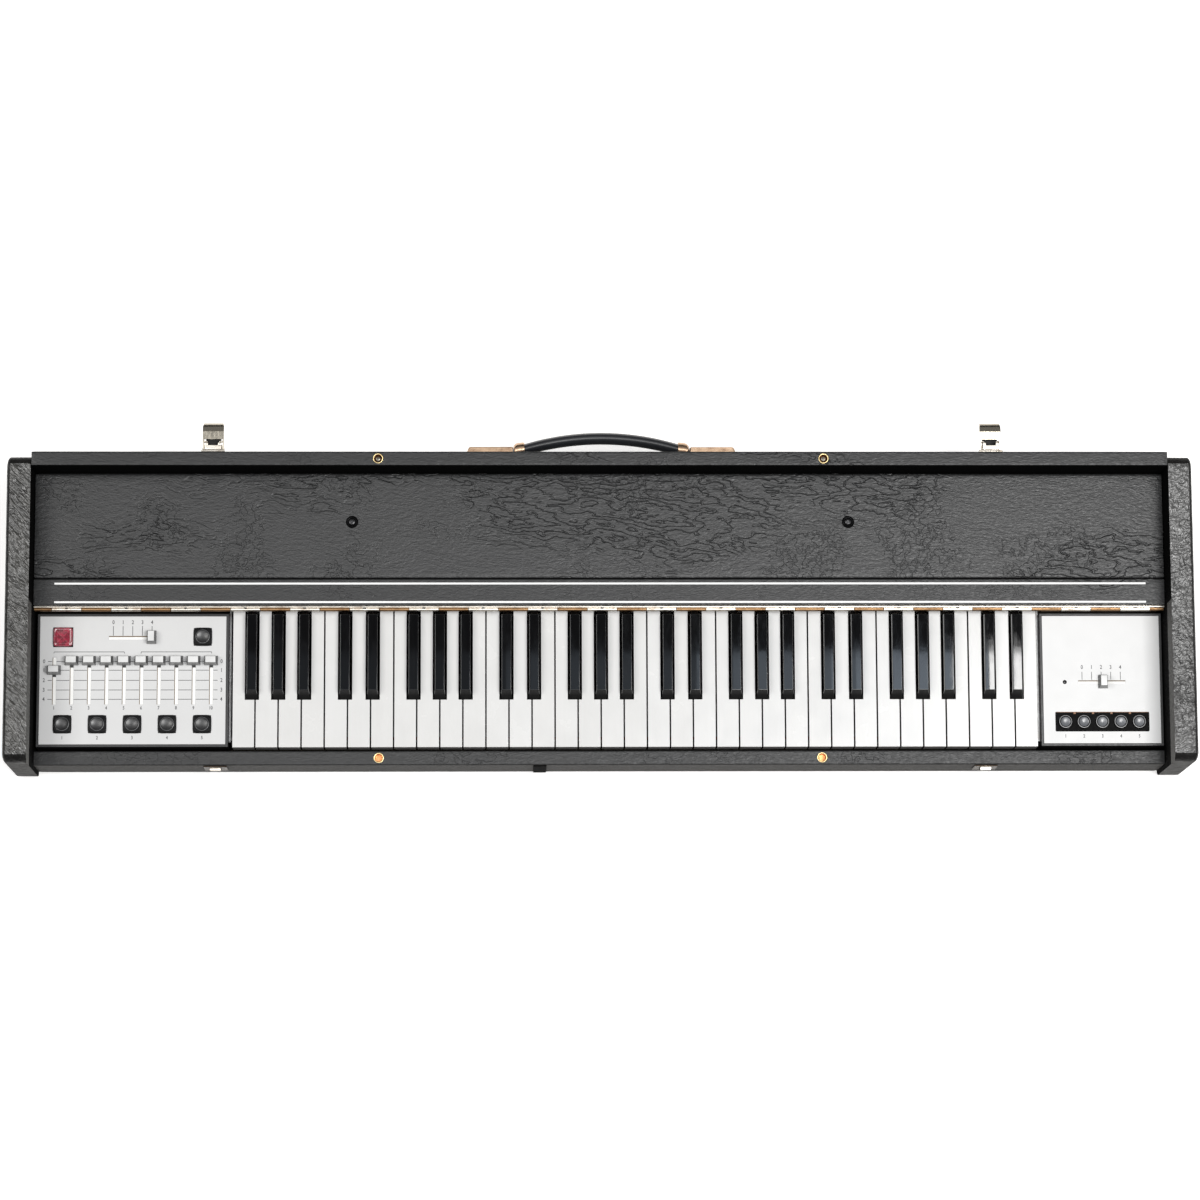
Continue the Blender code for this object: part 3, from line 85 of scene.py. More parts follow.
class Graph:  # a node tree that hands out wires
    def __init__(self, tree):
        self.tree = tree

    def add(self, kind, settings=None, inputs=None, out=0):
        node = self.tree.nodes.new(kind)
        for name, value in (settings or {}).items():
            if name == "stops":
                self.fillRamp(node.color_ramp.elements, value)
            else:
                setattr(node, name, value)
        for name, value in (inputs or {}).items():
            if isinstance(value, Wire):
                self.tree.links.new(value.socket, node.inputs[name])
            elif value is not None:
                node.inputs[name].default_value = value
        return Wire(self, node.outputs[out]) if len(node.outputs) else None

    def fillRamp(self, elements, stops):
        elements[0].position = stops[0][0]
        elements[1].position = stops[-1][0]
        for position, _ in stops[1:-1]:
            elements.new(position)
        for element, (_, colour) in zip(elements, stops):
            element.color = opaque(colour)

    def vector(self, operation, first, second=None):
        return self.add("ShaderNodeVectorMath", {"operation": operation}, {0: first, 1: second})

    def axis(self, vector, name):
        return self.add("ShaderNodeSeparateXYZ", None, {0: vector}, name)


def opaque(colour):
    return (*colour, 1.0)


class Finish(Graph):  # a material in the making; lengths in it are metres on the object
    def __init__(self, name):
        self.material = bpy.data.materials.new(name)
        self.material.use_nodes = True
        super().__init__(self.material.node_tree)
        self.tree.nodes.clear()
        self.place = self.add("ShaderNodeTexCoord", out="Object")

    def noise(self, scale, detail=2.0, roughness=0.5, vector=None, out=0):
        inputs = {"Vector": vector or self.place, "Scale": scale, "Detail": detail, "Roughness": roughness}
        return self.add("ShaderNodeTexNoise", None, inputs, out)

    def cells(self, scale, feature="F1", vector=None):
        inputs = {"Vector": vector or self.place, "Scale": scale}
        return self.add("ShaderNodeTexVoronoi", {"feature": feature}, inputs, "Distance")

    def turned(self, vector, angles):
        return self.add("ShaderNodeMapping", None, {"Vector": vector, "Rotation": angles})

    def step(self, value, low, high, first=0.0, last=1.0):
        inputs = {"Value": value, "From Min": low, "From Max": high, "To Min": first, "To Max": last}
        return self.add("ShaderNodeMapRange", {"interpolation_type": "SMOOTHSTEP"}, inputs)

    def blend(self, factor, first, second):
        first, second = [c if isinstance(c, Wire) else opaque(c) for c in (first, second)]
        return self.add("ShaderNodeMix", {"data_type": "RGBA"}, {0: factor, 6: first, 7: second}, 2)

    def bump(self, height, strength=1.0, normal=None):  # height in millimetres
        inputs = {"Height": height, "Distance": mm, "Strength": strength, "Normal": normal}
        return self.add("ShaderNodeBump", None, inputs)

    def shade(self, colour, roughness, metallic=0.0, normal=None, extra=None):
        colour = colour if isinstance(colour, Wire) else opaque(colour)
        inputs = {"Base Color": colour, "Roughness": roughness, "Metallic": metallic, "Normal": normal}
        shader = self.add("ShaderNodeBsdfPrincipled", None, {**inputs, **(extra or {})})
        self.add("ShaderNodeOutputMaterial", None, {"Surface": shader})
        return self.material


# finishes

def vinyl(name, look):  # embossed leatherette: fine ripples along one way, wandering cracks, patches of tangle
    f = Finish(name)
    warp = f.vector("SUBTRACT", f.noise(look["warpScale"], 2.0, out="Color"), (0.5, 0.5, 0.5))
    bent = f.vector("ADD", f.place, f.vector("MULTIPLY", warp, (look["warp"],) * 3))
    run = f.vector("MULTIPLY", f.turned(bent, look["turn"]), look["stretch"])
    ripples = f.noise(look["rippleScale"], 2.0, vector=run)
    waves = f.noise(look["rippleScale"] * 0.4, 3.0, 0.55, vector=run)
    long = f.vector("MULTIPLY", f.turned(bent, look["turn"]), (0.45, 1.3, 1.0))
    levels = f.noise(look["crackScale"], 4.0, 0.55, vector=long)
    bands = f.noise(look["patchScale"], 3.0, vector=f.vector("MULTIPLY", bent, (0.5, 1.5, 1.0)))
    cracks = (1 - f.step(abs(levels - 0.5), 0.0, look["crackWidth"])) * f.step(bands, *look["crackRange"])
    contour = abs((levels * look["bundle"]).of("FRACT") - 0.5)  # many lines side by side, where the bands run high
    sides = (1 - f.step(contour, 0.02, look["bundleWidth"])) * f.step(bands, *look["bundleRange"])
    cracks = cracks.maths("MAXIMUM", cracks, sides)
    contour = abs(f.noise(look["tangleScale"], 3.0, vector=bent) - 0.5)
    crowded = f.step(f.noise(look["patchScale"] * 1.5, 2.0), *look["tangleRange"])
    tangle = (1 - f.step(contour, 0.0, look["tangleWidth"])) * crowded
    grain = f.noise(look["grainScale"], 2.0, 0.6)
    height = ripples * look["rippleDepth"] + waves * look["waveDepth"] + grain * look["grainDepth"]
    height = height - cracks * look["crackDepth"] - tangle * look["tangleDepth"]
    # the tone is part random patches and part painted light and shade that follows the ripples: ridges lighter, hollows
    # darker
    tone = f.step(f.noise(look["patchScale"] * 1.7, 4.0, 0.6), 0.3, 0.7) * 0.4
    tone = tone + f.step(ripples * 0.5 + waves * 0.5, 0.36, 0.64) * 0.6
    colour = f.blend(tone, look["dark"], look["light"])
    # cracks and tangles are darkened towards the crease colour: painted shade in them
    shade = f.step(cracks * look["crackShade"] + tangle * look["tangleShade"], 0.0, 1.0)
    colour = f.blend(shade, colour, look["creaseShadeColour"])
    roughness = f.step(f.noise(look["rippleScale"] * 0.4, 3.0), 0.3, 0.7, *look["roughness"])
    return f.shade(colour, roughness, 0.0, f.bump(height), {"Specular IOR Level": look["specular"]})


coverLook = {
    "dark": (0.0105, 0.0107, 0.0112), "light": (0.0165, 0.0168, 0.0176), "creaseShadeColour": (0.003, 0.003, 0.0035),
    "roughness": (0.38, 0.50), "specular": 0.62, "warpScale": 14.0, "warp": 0.022,
    "turn": (0.0, 0.0, 0.06), "stretch": (0.40, 1.0, 1.0), "rippleScale": 760.0, "rippleDepth": 0.30,
    "waveDepth": 0.42, "grainScale": 1500.0, "grainDepth": 0.03, "patchScale": 7.0,
    "crackScale": 20.0, "crackWidth": 0.008, "crackRange": (0.50, 0.56), "crackDepth": 0.62, "crackShade": 0.26,
    "bundle": 15.0, "bundleWidth": 0.16, "bundleRange": (0.47, 0.58),
    "tangleScale": 110.0, "tangleWidth": 0.028, "tangleRange": (0.50, 0.60), "tangleDepth": 0.24, "tangleShade": 0.1,
}
stripLook = {**coverLook, "specular": 0.53, "crackRange": (0.62, 0.70), "bundleRange": (0.66, 0.75), "tangleDepth": 0.14,
             "rippleDepth": 0.22, "waveDepth": 0.28}
railLook = {**coverLook, "specular": 0.50, "crackRange": (0.60, 0.68), "bundleRange": (0.62, 0.72), "tangleDepth": 0.18,
            "rippleDepth": 0.26, "waveDepth": 0.34}
# the front face's own copy of the rail vinyl, its colour set for how that face is lit: painted light and shade
railFaceShadingLook = {**railLook, "dark": (0.012, 0.011, 0.010), "light": (0.020, 0.018, 0.016), "specular": 0.5,
                "roughness": (0.78, 0.90)}
cheekLook = {**coverLook, "dark": (0.0130, 0.0125, 0.0114), "light": (0.0740, 0.0720, 0.0665),
             "roughness": (0.28, 0.42), "specular": 1.0, "turn": (0.0, 0.0, 0.85), "stretch": (0.34, 1.0, 1.0),
             "rippleScale": 290.0, "rippleDepth": 2.2, "waveDepth": 4.2, "crackRange": (0.60, 0.70),
             "bundleRange": (0.66, 0.75), "tangleDepth": 0.4, "warp": 0.016}
# the right cheek's wrinkles run another way, and its lighter colour is painted light for the stronger light on that
# side
litRightCheekLook = {**cheekLook, "turn": (0.0, 0.0, -0.5), "stretch": (0.7, 1.0, 1.0), "rippleScale": 330.0,
                  "rippleDepth": 1.6, "waveDepth": 3.0, "dark": (0.0200, 0.0197, 0.0190), "light": (0.1200, 0.1190, 0.1170)}
# a darker copy for the cheeks' roundings: painted shade where they turn away from the light
rimShadeLook = {**cheekLook, "dark": (0.0050, 0.0048, 0.0045), "light": (0.0110, 0.0105, 0.0100), "specular": 0.14,
                "roughness": (0.40, 0.55), "rippleDepth": 1.0, "waveDepth": 1.0}
# a lighter copy for the upper strip of the cheek's inner face, where the wrap laps over: painted reflection
lapSheenLook = {**coverLook, "dark": (0.070, 0.068, 0.064), "light": (0.100, 0.098, 0.093), "specular": 0.5,
           "roughness": (0.6, 0.8)}
# a darker copy for the cheeks' upright faces: painted shade
sideShadeLook = {**cheekLook, "dark": (0.0140, 0.0135, 0.0125), "light": (0.0300, 0.0290, 0.0270), "specular": 0.5,
                 "roughness": (0.74, 0.90), "rippleDepth": 1.2, "waveDepth": 1.2}
# near-black, for the shade in gaps, holes and inner faces (painted shade) and for the black front pad
shadeAndBlackLook = {**coverLook, "dark": (0.0020, 0.0020, 0.0020), "light": (0.0034, 0.0034, 0.0034),
              "roughness": (0.92, 0.99), "specular": 0.04, "rippleDepth": 0.05, "waveDepth": 0.05}


def plastic(name, colour, roughness, mottle=0.12, coat=0.0, peel=0.01, specular=0.5):
    f = Finish(name)
    tone = f.step(f.noise(70.0, 4.0), 0.3, 0.7)
    darker = tuple(c * (1 - mottle) for c in colour)
    rough = f.step(f.noise(240.0, 3.0), 0.3, 0.7, roughness * 0.88, roughness * 1.12)
    height = f.noise(900.0, 2.0) * peel
    extra = {"Coat Weight": coat, "Coat Roughness": 0.12, "Specular IOR Level": specular}
    return f.shade(f.blend(tone, darker, colour), rough, 0.0, f.bump(height), extra)


plateLook = {"colour": (0.645, 0.645, 0.644), "worn": (0.610, 0.610, 0.608), "roughness": (0.46, 0.56)}
whitePlateLook = {"colour": (0.735, 0.735, 0.735), "worn": (0.722, 0.722, 0.720), "roughness": (0.44, 0.52)}


def platePaint(name, look):  # satin lacquer on sheet metal, a little duller in clouds
    f = Finish(name)
    clouds = f.step(f.noise(14.0, 5.0, 0.6), 0.35, 0.75)
    specks = f.step(f.cells(180.0), 0.02, 0.06)
    colour = f.blend(clouds * 0.8, look["colour"], look["worn"])
    colour = f.blend((1 - specks) * 0.25, colour, (0.40, 0.38, 0.36))
    rough = f.step(f.noise(60.0, 3.0), 0.3, 0.7, *look["roughness"])
    return f.shade(colour, rough, 0.0, f.bump(f.noise(700.0, 2.0) * 0.006))


ivoryLook = {"colour": (0.700, 0.697, 0.690), "warm": (0.668, 0.662, 0.648), "pitch": 0.0235, "roughness": (0.16, 0.28)}


def ivory():  # each key has its own tone, with faint streaks along it
    f = Finish("ivory")
    number = ((f.axis(f.place, "X") - ivoryLook["left"]) / ivoryLook["pitch"]).of("FLOOR")
    chance = f.add("ShaderNodeTexWhiteNoise", {"noise_dimensions": "1D"}, {"W": number})
    streaks = f.noise(30.0, 3.0, 0.5, vector=f.vector("MULTIPLY", f.place, (7.0, 0.6, 1.0)))
    warmth = chance * 0.5 + f.step(streaks, 0.3, 0.8) * 0.3
    colour = f.blend(warmth, ivoryLook["colour"], ivoryLook["warm"])
    rough = f.step(f.noise(38.0, 4.0), 0.3, 0.7, *ivoryLook["roughness"])
    return f.shade(colour, rough, 0.0, f.bump(f.noise(420.0, 2.0) * 0.008),
                   {"Coat Weight": 0.25, "Coat Roughness": 0.12})


def ebony():  # polished black with handling marks
    f = Finish("ebony")
    marks = f.noise(55.0, 5.0, 0.65, vector=f.vector("MULTIPLY", f.place, (1.6, 0.6, 1.0)))
    rough = f.step(marks, 0.35, 0.75, 0.03, 0.09)
    colour = f.blend(f.step(marks, 0.5, 0.8), (0.0022, 0.0022, 0.0026), (0.0045, 0.0045, 0.0050))
    return f.shade(colour, rough, 0.0, f.bump(f.noise(90.0, 2.0) * 0.012),
                   {"Coat Weight": 0.5, "Coat Roughness": 0.03})


def ebonyNose():  # the sloping front, grained where fingers meet it
    f = Finish("ebonyNose")
    grain = f.noise(1400.0, 3.0, 0.7)
    colour = f.blend(f.step(grain, 0.4, 0.75), (0.016, 0.016, 0.016), (0.034, 0.034, 0.034))
    return f.shade(colour, 0.60, 0.0, f.bump(grain * 0.05), {"Specular IOR Level": 0.2})


def metal(name, bright, dark, roughness, streak=(1.0, 1.0, 1.0), tarnish=(0.45, 0.75)):
    f = Finish(name)
    lines = f.noise(420.0, 4.0, 0.65, vector=f.vector("MULTIPLY", f.place, streak))
    stain = f.step(f.noise(95.0, 4.0, 0.6), *tarnish)
    colour = f.blend(stain * 0.8, bright, dark)
    rough = f.step(lines, 0.3, 0.7, roughness * 0.75, roughness * 1.3)
    return f.shade(colour, rough, 1.0, f.bump(lines * 0.004))


def felt(name, colour):
    f = Finish(name)
    fibres = f.noise(2600.0, 3.0, 0.8)
    deep = tuple(c * 0.45 for c in colour)
    return f.shade(f.blend(f.step(fibres, 0.3, 0.7), deep, colour), 0.95, 0.0, f.bump(fibres * 0.12),
                   {"Sheen Weight": 0.4})


redLook = {"half": 0.00985, "deep": (0.150, 0.004, 0.016), "bright": (0.460, 0.020, 0.060)}


def redLens():  # a moulded lens: fine ribs, a cross from corner to corner, a dark core
    f = Finish("redLens")
    at = f.vector("SUBTRACT", f.place, redLook["centre"])
    x = f.axis(at, "X")
    y = f.axis(at, "Y")
    ribs = (x * 3400.0).of("SINE") * 0.5 + 0.5
    cross = 1 - f.step(abs(abs(x) - abs(y)), 0.0002, 0.0011)
    reach = f.add("ShaderNodeVectorMath", {"operation": "LENGTH"}, {0: at}, "Value")
    core = 1 - f.step(reach, 0.0012, 0.0040)
    cloud = f.step(f.noise(240.0, 4.0), 0.3, 0.7)
    light = cloud * 0.55 + ribs * 0.16 + cross * 0.22 - core * 0.45
    colour = f.blend(f.step(light, 0.0, 0.9), redLook["deep"], redLook["bright"])
    height = ribs * 0.02 + cross * 0.05
    return f.shade(colour, 0.20, 0.0, f.bump(height), {"Coat Weight": 1.0, "Coat Roughness": 0.05})


def circuit(name):
    f = Finish(name)
    tracks = 1 - f.step(abs(f.noise(170.0, 1.0) - 0.5), 0.0, 0.035)
    colour = f.blend(tracks, (0.040, 0.110, 0.050), (0.150, 0.260, 0.110))
    return f.shade(colour, 0.42, 0.0, f.bump(tracks * 0.05))


def printInk(name, colour):
    f = Finish(name)
    fade = f.step(f.noise(320.0, 4.0, 0.7), 0.35, 0.8)
    lighter = tuple(min(1.0, c * 1.35) for c in colour)
    return f.shade(f.blend(fade, colour, lighter), 0.45, 0.0, f.bump(fade * 0.004))


def laminated(name):  # stacked iron sheets, their edges showing as lines
    f = Finish(name)
    z = f.axis(f.place, "Z")
    sheets = (z * 9000.0).of("SINE") * 0.5 + 0.5
    rust = f.step(f.noise(130.0, 4.0), 0.5, 0.8)
    colour = f.blend(rust, (0.16, 0.15, 0.14), (0.22, 0.12, 0.07))
    return f.shade(colour, 0.55, 0.7, f.bump(sheets * 0.12))


boardLook = {"dark": (0.026, 0.021, 0.016), "light": (0.060, 0.049, 0.038), "run": (0.05, 1.0, 1.0), "scale": 320.0}


def stainedBoard(name, look):  # the bare side of a board, thinly stained, its grain running from side to side
    f = Finish(name)
    run = f.vector("MULTIPLY", f.place, look["run"])
    lines = f.noise(look["scale"], 4.0, 0.6, vector=run)
    clouds = f.noise(look["scale"] * 0.06, 3.0, vector=run)
    colour = f.blend(f.step(lines * 0.6 + clouds * 0.4, 0.36, 0.64), look["dark"], look["light"])
    return f.shade(colour, 0.74, 0.0, f.bump(lines * 0.04), {"Specular IOR Level": 0.3})


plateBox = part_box("left_panel")
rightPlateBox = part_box("right_panel")
plateTop = plateBox[1].z
redLook["centre"] = (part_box("power_button")[0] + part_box("power_button")[1]) / 2
ivoryLook["left"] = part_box("lower_naturals")[0].x - 0.00045

finishes = {
    "cover": vinyl("coverVinyl", coverLook),
    "strip": vinyl("stripVinyl", stripLook),
    "rail": vinyl("railVinyl", railLook),
    "railFace": vinyl("railFaceVinyl", railFaceShadingLook),
    "cheek": vinyl("cheekVinyl", cheekLook),
    "rightCheek": vinyl("rightCheekVinyl", litRightCheekLook),
    "cheekRim": vinyl("cheekRimVinyl", rimShadeLook),
    "cheekSide": vinyl("cheekSideVinyl", sideShadeLook),
    "lap": vinyl("lapVinyl", lapSheenLook),
    "inside": vinyl("insideVinyl", shadeAndBlackLook),
    "bareBoard": stainedBoard("bareBoard", boardLook),
    "plate": platePaint("platePaint", plateLook),
    "whitePlate": platePaint("whitePlatePaint", whitePlateLook),
    "frame": plastic("framePlastic", (0.024, 0.024, 0.025), 0.40),
    "black": plastic("blackPlastic", (0.012, 0.012, 0.012), 0.50, specular=0.3),
    "housing": plastic("housingPlastic", (0.018, 0.017, 0.016), 0.42),
    "button": plastic("buttonPlastic", (0.0050, 0.0050, 0.0055), 0.30, specular=0.12),
    "surround": plastic("surroundPlastic", (0.0050, 0.0050, 0.0052), 0.45, specular=0.03),
    "buttonDish": plastic("buttonDishPlastic", (0.0090, 0.0090, 0.0100), 0.36, specular=0.8),
    "buttonRingHighlight": plastic("buttonRingPlastic", (0.090, 0.092, 0.096), 0.30),
    "soloCap": plastic("soloCapPlastic", (0.125, 0.132, 0.144), 0.28, specular=0.9),
    "soloRingHighlight": plastic("soloRingPlastic", (0.340, 0.345, 0.350), 0.30),
    "amber": plastic("amberPlastic", (0.230, 0.090, 0.020), 0.40),
    "knobLitTop": plastic("knobTopPlastic", (0.740, 0.740, 0.735), 0.34),
    "knobShadedFront": plastic("knobFrontPlastic", (0.300, 0.300, 0.298), 0.42),
    "knobShadedSide": plastic("knobSidePlastic", (0.120, 0.120, 0.120), 0.46),
    "stemTab": plastic("stemTabSteel", (0.012, 0.012, 0.012), 0.50),
    "lip": plastic("dustLipRubber", (0.920, 0.915, 0.895), 0.60, mottle=0.04),
    "lipEdge": plastic("lipEdgeRubber", (0.170, 0.110, 0.055), 0.60),
    "ivory": ivory(),
    "ivorySide": plastic("ivorySide", (0.022, 0.017, 0.013), 0.60, specular=0.2),
    "ivoryLip": plastic("ivoryLip", (0.560, 0.550, 0.530), 0.50),
    "ebony": ebony(),
    "ebonyNose": ebonyNose(),
    "red": redLens(),
    "redSpot": plastic("redSpotPlastic", (0.800, 0.520, 0.540), 0.15, coat=1.0),
    "nickel": metal("nickelPlate", (0.640, 0.595, 0.530), (0.300, 0.235, 0.170), 0.24),
    "hingeNickel": metal("hingeNickel", (0.860, 0.810, 0.730), (0.560, 0.450, 0.350), 0.34, (0.25, 3.0, 3.0)),
    "brass": metal("brassPlate", (0.600, 0.420, 0.285), (0.340, 0.205, 0.130), 0.30, (0.10, 2.0, 2.0)),
    "hingeBrass": metal("hingeBrass", (0.340, 0.205, 0.105), (0.170, 0.090, 0.045), 0.40, (0.25, 3.0, 3.0)),
    "latchSteel": metal("latchSteel", (0.420, 0.385, 0.320), (0.300, 0.255, 0.190), 0.22, (2.0, 0.3, 1.0), (0.5, 0.8)),
    "socket": metal("socketBrass", (0.880, 0.700, 0.360), (0.480, 0.310, 0.130), 0.34),
    "socketCup": metal("socketCup", (0.720, 0.340, 0.140), (0.360, 0.150, 0.060), 0.40),
    "steel": metal("plainSteel", (0.400, 0.400, 0.400), (0.200, 0.180, 0.160), 0.42),
    "screwGrey": metal("screwGrey", (0.200, 0.190, 0.160), (0.090, 0.085, 0.075), 0.34),
    "blackSteel": metal("blackSteel", (0.060, 0.060, 0.062), (0.030, 0.030, 0.030), 0.30),
    "grip": plastic("gripVinyl", (0.016, 0.017, 0.020), 0.36, coat=0.15, peel=0.05),
    "felt": felt("redFelt", (0.360, 0.020, 0.014)),
    "board": circuit("circuitBoard"),
    "chip": plastic("chipPlastic", (0.020, 0.020, 0.021), 0.5),
    "iron": laminated("laminatedIron"),
    "white": printInk("whiteInk", (0.860, 0.860, 0.850)),
    "grey": printInk("greyInk", (0.050, 0.050, 0.053)),
    "catchPlate": metal("catchPlate", (0.034, 0.024, 0.016), (0.016, 0.011, 0.008), 0.45),
    "pad": plastic("padRubber", (0.0035, 0.0035, 0.0035), 0.70),
}
print("finishes:", len(finishes))


# mesh tools

softening = {"merge": 1e-6, "flat": math.radians(0.4), "sharp": math.radians(25), "segments": 3}


def addObject(name, mesh):
    piece = bpy.data.objects.new(name, mesh)
    scene.collection.objects.link(piece)
    return piece


def fromMesher(name, bm):
    mesh = bpy.data.meshes.new(name)
    bm.to_mesh(mesh)
    bm.free()
    return addObject(name, mesh)


def plainMesh(piece):  # works the modifiers into the mesh
    bpy.context.view_layer.update()
    graph = bpy.context.evaluated_depsgraph_get()
    mesh = bpy.data.meshes.new_from_object(piece.evaluated_get(graph))
    old = piece.data
    piece.modifiers.clear()
    piece.data = mesh
    bpy.data.meshes.remove(old)
    mesh.name = piece.name
    return piece


def smoothed(piece, angle=40, weighted=True):
    piece.data.shade_smooth()
    piece.data.set_sharp_from_angle(angle=math.radians(angle))
    if weighted:
        modifier = piece.modifiers.new("weigh", "WEIGHTED_NORMAL")
        modifier.keep_sharp = True
        plainMesh(piece)
    return piece


def dressed(piece, body, names, stands=()):
    for name in names:
        piece.data.materials.append(finishes[name])
    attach(piece, body)
    if stands:
        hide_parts(*stands)
    return piece


def painted(piece, index, chosen):  # gives the faces that chosen(centre, normal) picks another finish
    for face in piece.data.polygons:
        if chosen(face.center, face.normal):
            face.material_index = index
    return piece


def softened(name, node, width, chosen=lambda edge: True, clamp=True, rolls=()):  # a node's solid, edges rounded
    bm = bmesh.new()
    bm.from_mesh(nodes[node].data)
    bmesh.ops.remove_doubles(bm, verts=bm.verts, dist=softening["merge"])
    bmesh.ops.dissolve_limit(bm, angle_limit=softening["flat"], verts=bm.verts, edges=bm.edges)
    for picked, reach in rolls:  # a few edges first, rolled over more
        edges = [e for e in bm.edges if picked(e)]
        bmesh.ops.bevel(bm, geom=edges, offset=reach, segments=6, profile=0.5, affect="EDGES", clamp_overlap=True)
    edges = [e for e in bm.edges if len(e.link_faces) == 2 and e.calc_face_angle() > softening["sharp"] and chosen(e)]
    bmesh.ops.bevel(bm, geom=edges, offset=width, segments=softening["segments"], profile=0.5,
                    affect="EDGES", clamp_overlap=clamp)
    for layer in list(bm.loops.layers.uv):
        bm.loops.layers.uv.remove(layer)
    piece = fromMesher(name, bm)
    piece.data.materials.clear()
    return smoothed(piece)


def clad(node, name):  # a node that stays, with a finish of its own
    mesh = nodes[node].data
    mesh.materials.clear()
    mesh.materials.append(finishes[name])


def rimRadius(shape, size, angle):
    if shape == "square":
        power = 7.0
        return size / (abs(math.cos(angle)) ** power + abs(math.sin(angle)) ** power) ** (1 / power)
    if shape == "hex":
        return size / math.cos(angle % (math.pi / 3) - math.pi / 6)
    return size


def addRows(bm, rows, first=None, last=None, finish=0):  # a skin over rows of points, ends closed on a point or flat
    made = [[bm.verts.new(p) for p in row] for row in rows]
    count = len(rows[0])
    faces = []
    for low, high in zip(made, made[1:]):
        for k in range(count):
            n = (k + 1) % count
            faces.append(bm.faces.new((low[k], low[n], high[n], high[k])))
    for row, tip, side in ((made[0], first, -1), (made[-1], last, 1)):
        if tip is None:
            faces.append(bm.faces.new(row[::side]))
        else:
            point = bm.verts.new(tip)
            for k in range(count):
                n = (k + 1) % count
                pair = (row[k], row[n]) if side > 0 else (row[n], row[k])
                faces.append(bm.faces.new((*pair, point)))
    for face in faces:
        face.material_index = finish
    return faces


def addStack(bm, place, rims, sides=40, finish=0):  # rims of (shape, size, height), from the underside round to the top
    x, y, z = place
    rows = []
    for shape, size, height in rims:
        row = []
        for k in range(sides):
            angle = 2 * math.pi * k / sides
            reach = rimRadius(shape, size, angle)
            row.append((x + reach * math.cos(angle), y + reach * math.sin(angle), z + height))
        rows.append(row)
    low = (x, y, z + rims[0][2])
    high = (x, y, z + rims[-1][2])
    return addRows(bm, rows, low, high, finish)


def addRing(bm, place, rims, sides=40, finish=0):  # rims as above, closed on themselves with a hole through
    x, y, z = place
    made = []
    for shape, size, height in rims:
        angles = [2 * math.pi * k / sides for k in range(sides)]
        made.append([
            bm.verts.new((x + rimRadius(shape, size, a) * math.cos(a), y + rimRadius(shape, size, a) * math.sin(a), z + height))
            for a in angles
        ])
    for low, high in zip(made, made[1:] + made[:1]):
        for k in range(sides):
            n = (k + 1) % sides
            bm.faces.new((low[k], low[n], high[n], high[k])).material_index = finish


def addBox(bm, low, high, finish=0):
    centre = (Vector(low) + Vector(high)) / 2
    size = Vector(high) - Vector(low)
    made = bmesh.ops.create_cube(bm, size=1.0, matrix=Matrix.Translation(centre) @ Matrix.Diagonal((*size, 1.0)))
    for face in {f for v in made["verts"] for f in v.link_faces}:
        face.material_index = finish


# Geometry Nodes

def newTree(name, inputs):
    tree = bpy.data.node_groups.new(name, "GeometryNodeTree")
    for title, kind in inputs.items():
        tree.interface.new_socket(title, in_out="INPUT", socket_type="NodeSocket" + kind)
    tree.interface.new_socket("Geometry", in_out="OUTPUT", socket_type="NodeSocketGeometry")
    graph = Graph(tree)
    return graph, lambda title: graph.add("NodeGroupInput", out=title)


def closeTree(graph, geometry, finish):
    geometry = graph.add("GeometryNodeRealizeInstances", None, {"Geometry": geometry})
    geometry = graph.add("GeometryNodeSetMaterial", None, {"Geometry": geometry, "Material": finish})
    graph.add("NodeGroupOutput", None, {"Geometry": geometry})
    return graph.tree


def grown(name, tree, values):  # what a tree makes, as a plain mesh
    piece = addObject(name, bpy.data.meshes.new(name))
    maker = piece.modifiers.new("maker", "NODES")
    maker.node_group = tree
    for item in tree.interface.items_tree:
        if item.in_out == "INPUT" and item.name in values:
            maker[item.identifier] = values[item.name]
    plainMesh(piece)
    piece.data.materials.clear()  # the maker leaves an empty slot ahead of its own
    piece.data.materials.append(values["Finish"])
    return piece


def rowTree():  # copies of one shape, evenly along a line
    graph, given = newTree("rowOfCopies", {
        "Shape": "Object", "Count": "Int", "Start": "Vector", "Step": "Vector", "Finish": "Material",
    })
    line = graph.add("GeometryNodeMeshLine", {"mode": "OFFSET"}, {
        "Count": given("Count"), "Start Location": given("Start"), "Offset": given("Step"),
    })
    shape = graph.add("GeometryNodeObjectInfo", None, {"Object": given("Shape")}, "Geometry")
    copies = graph.add("GeometryNodeInstanceOnPoints", None, {"Points": line, "Instance": shape})
    return closeTree(graph, copies, given("Finish"))


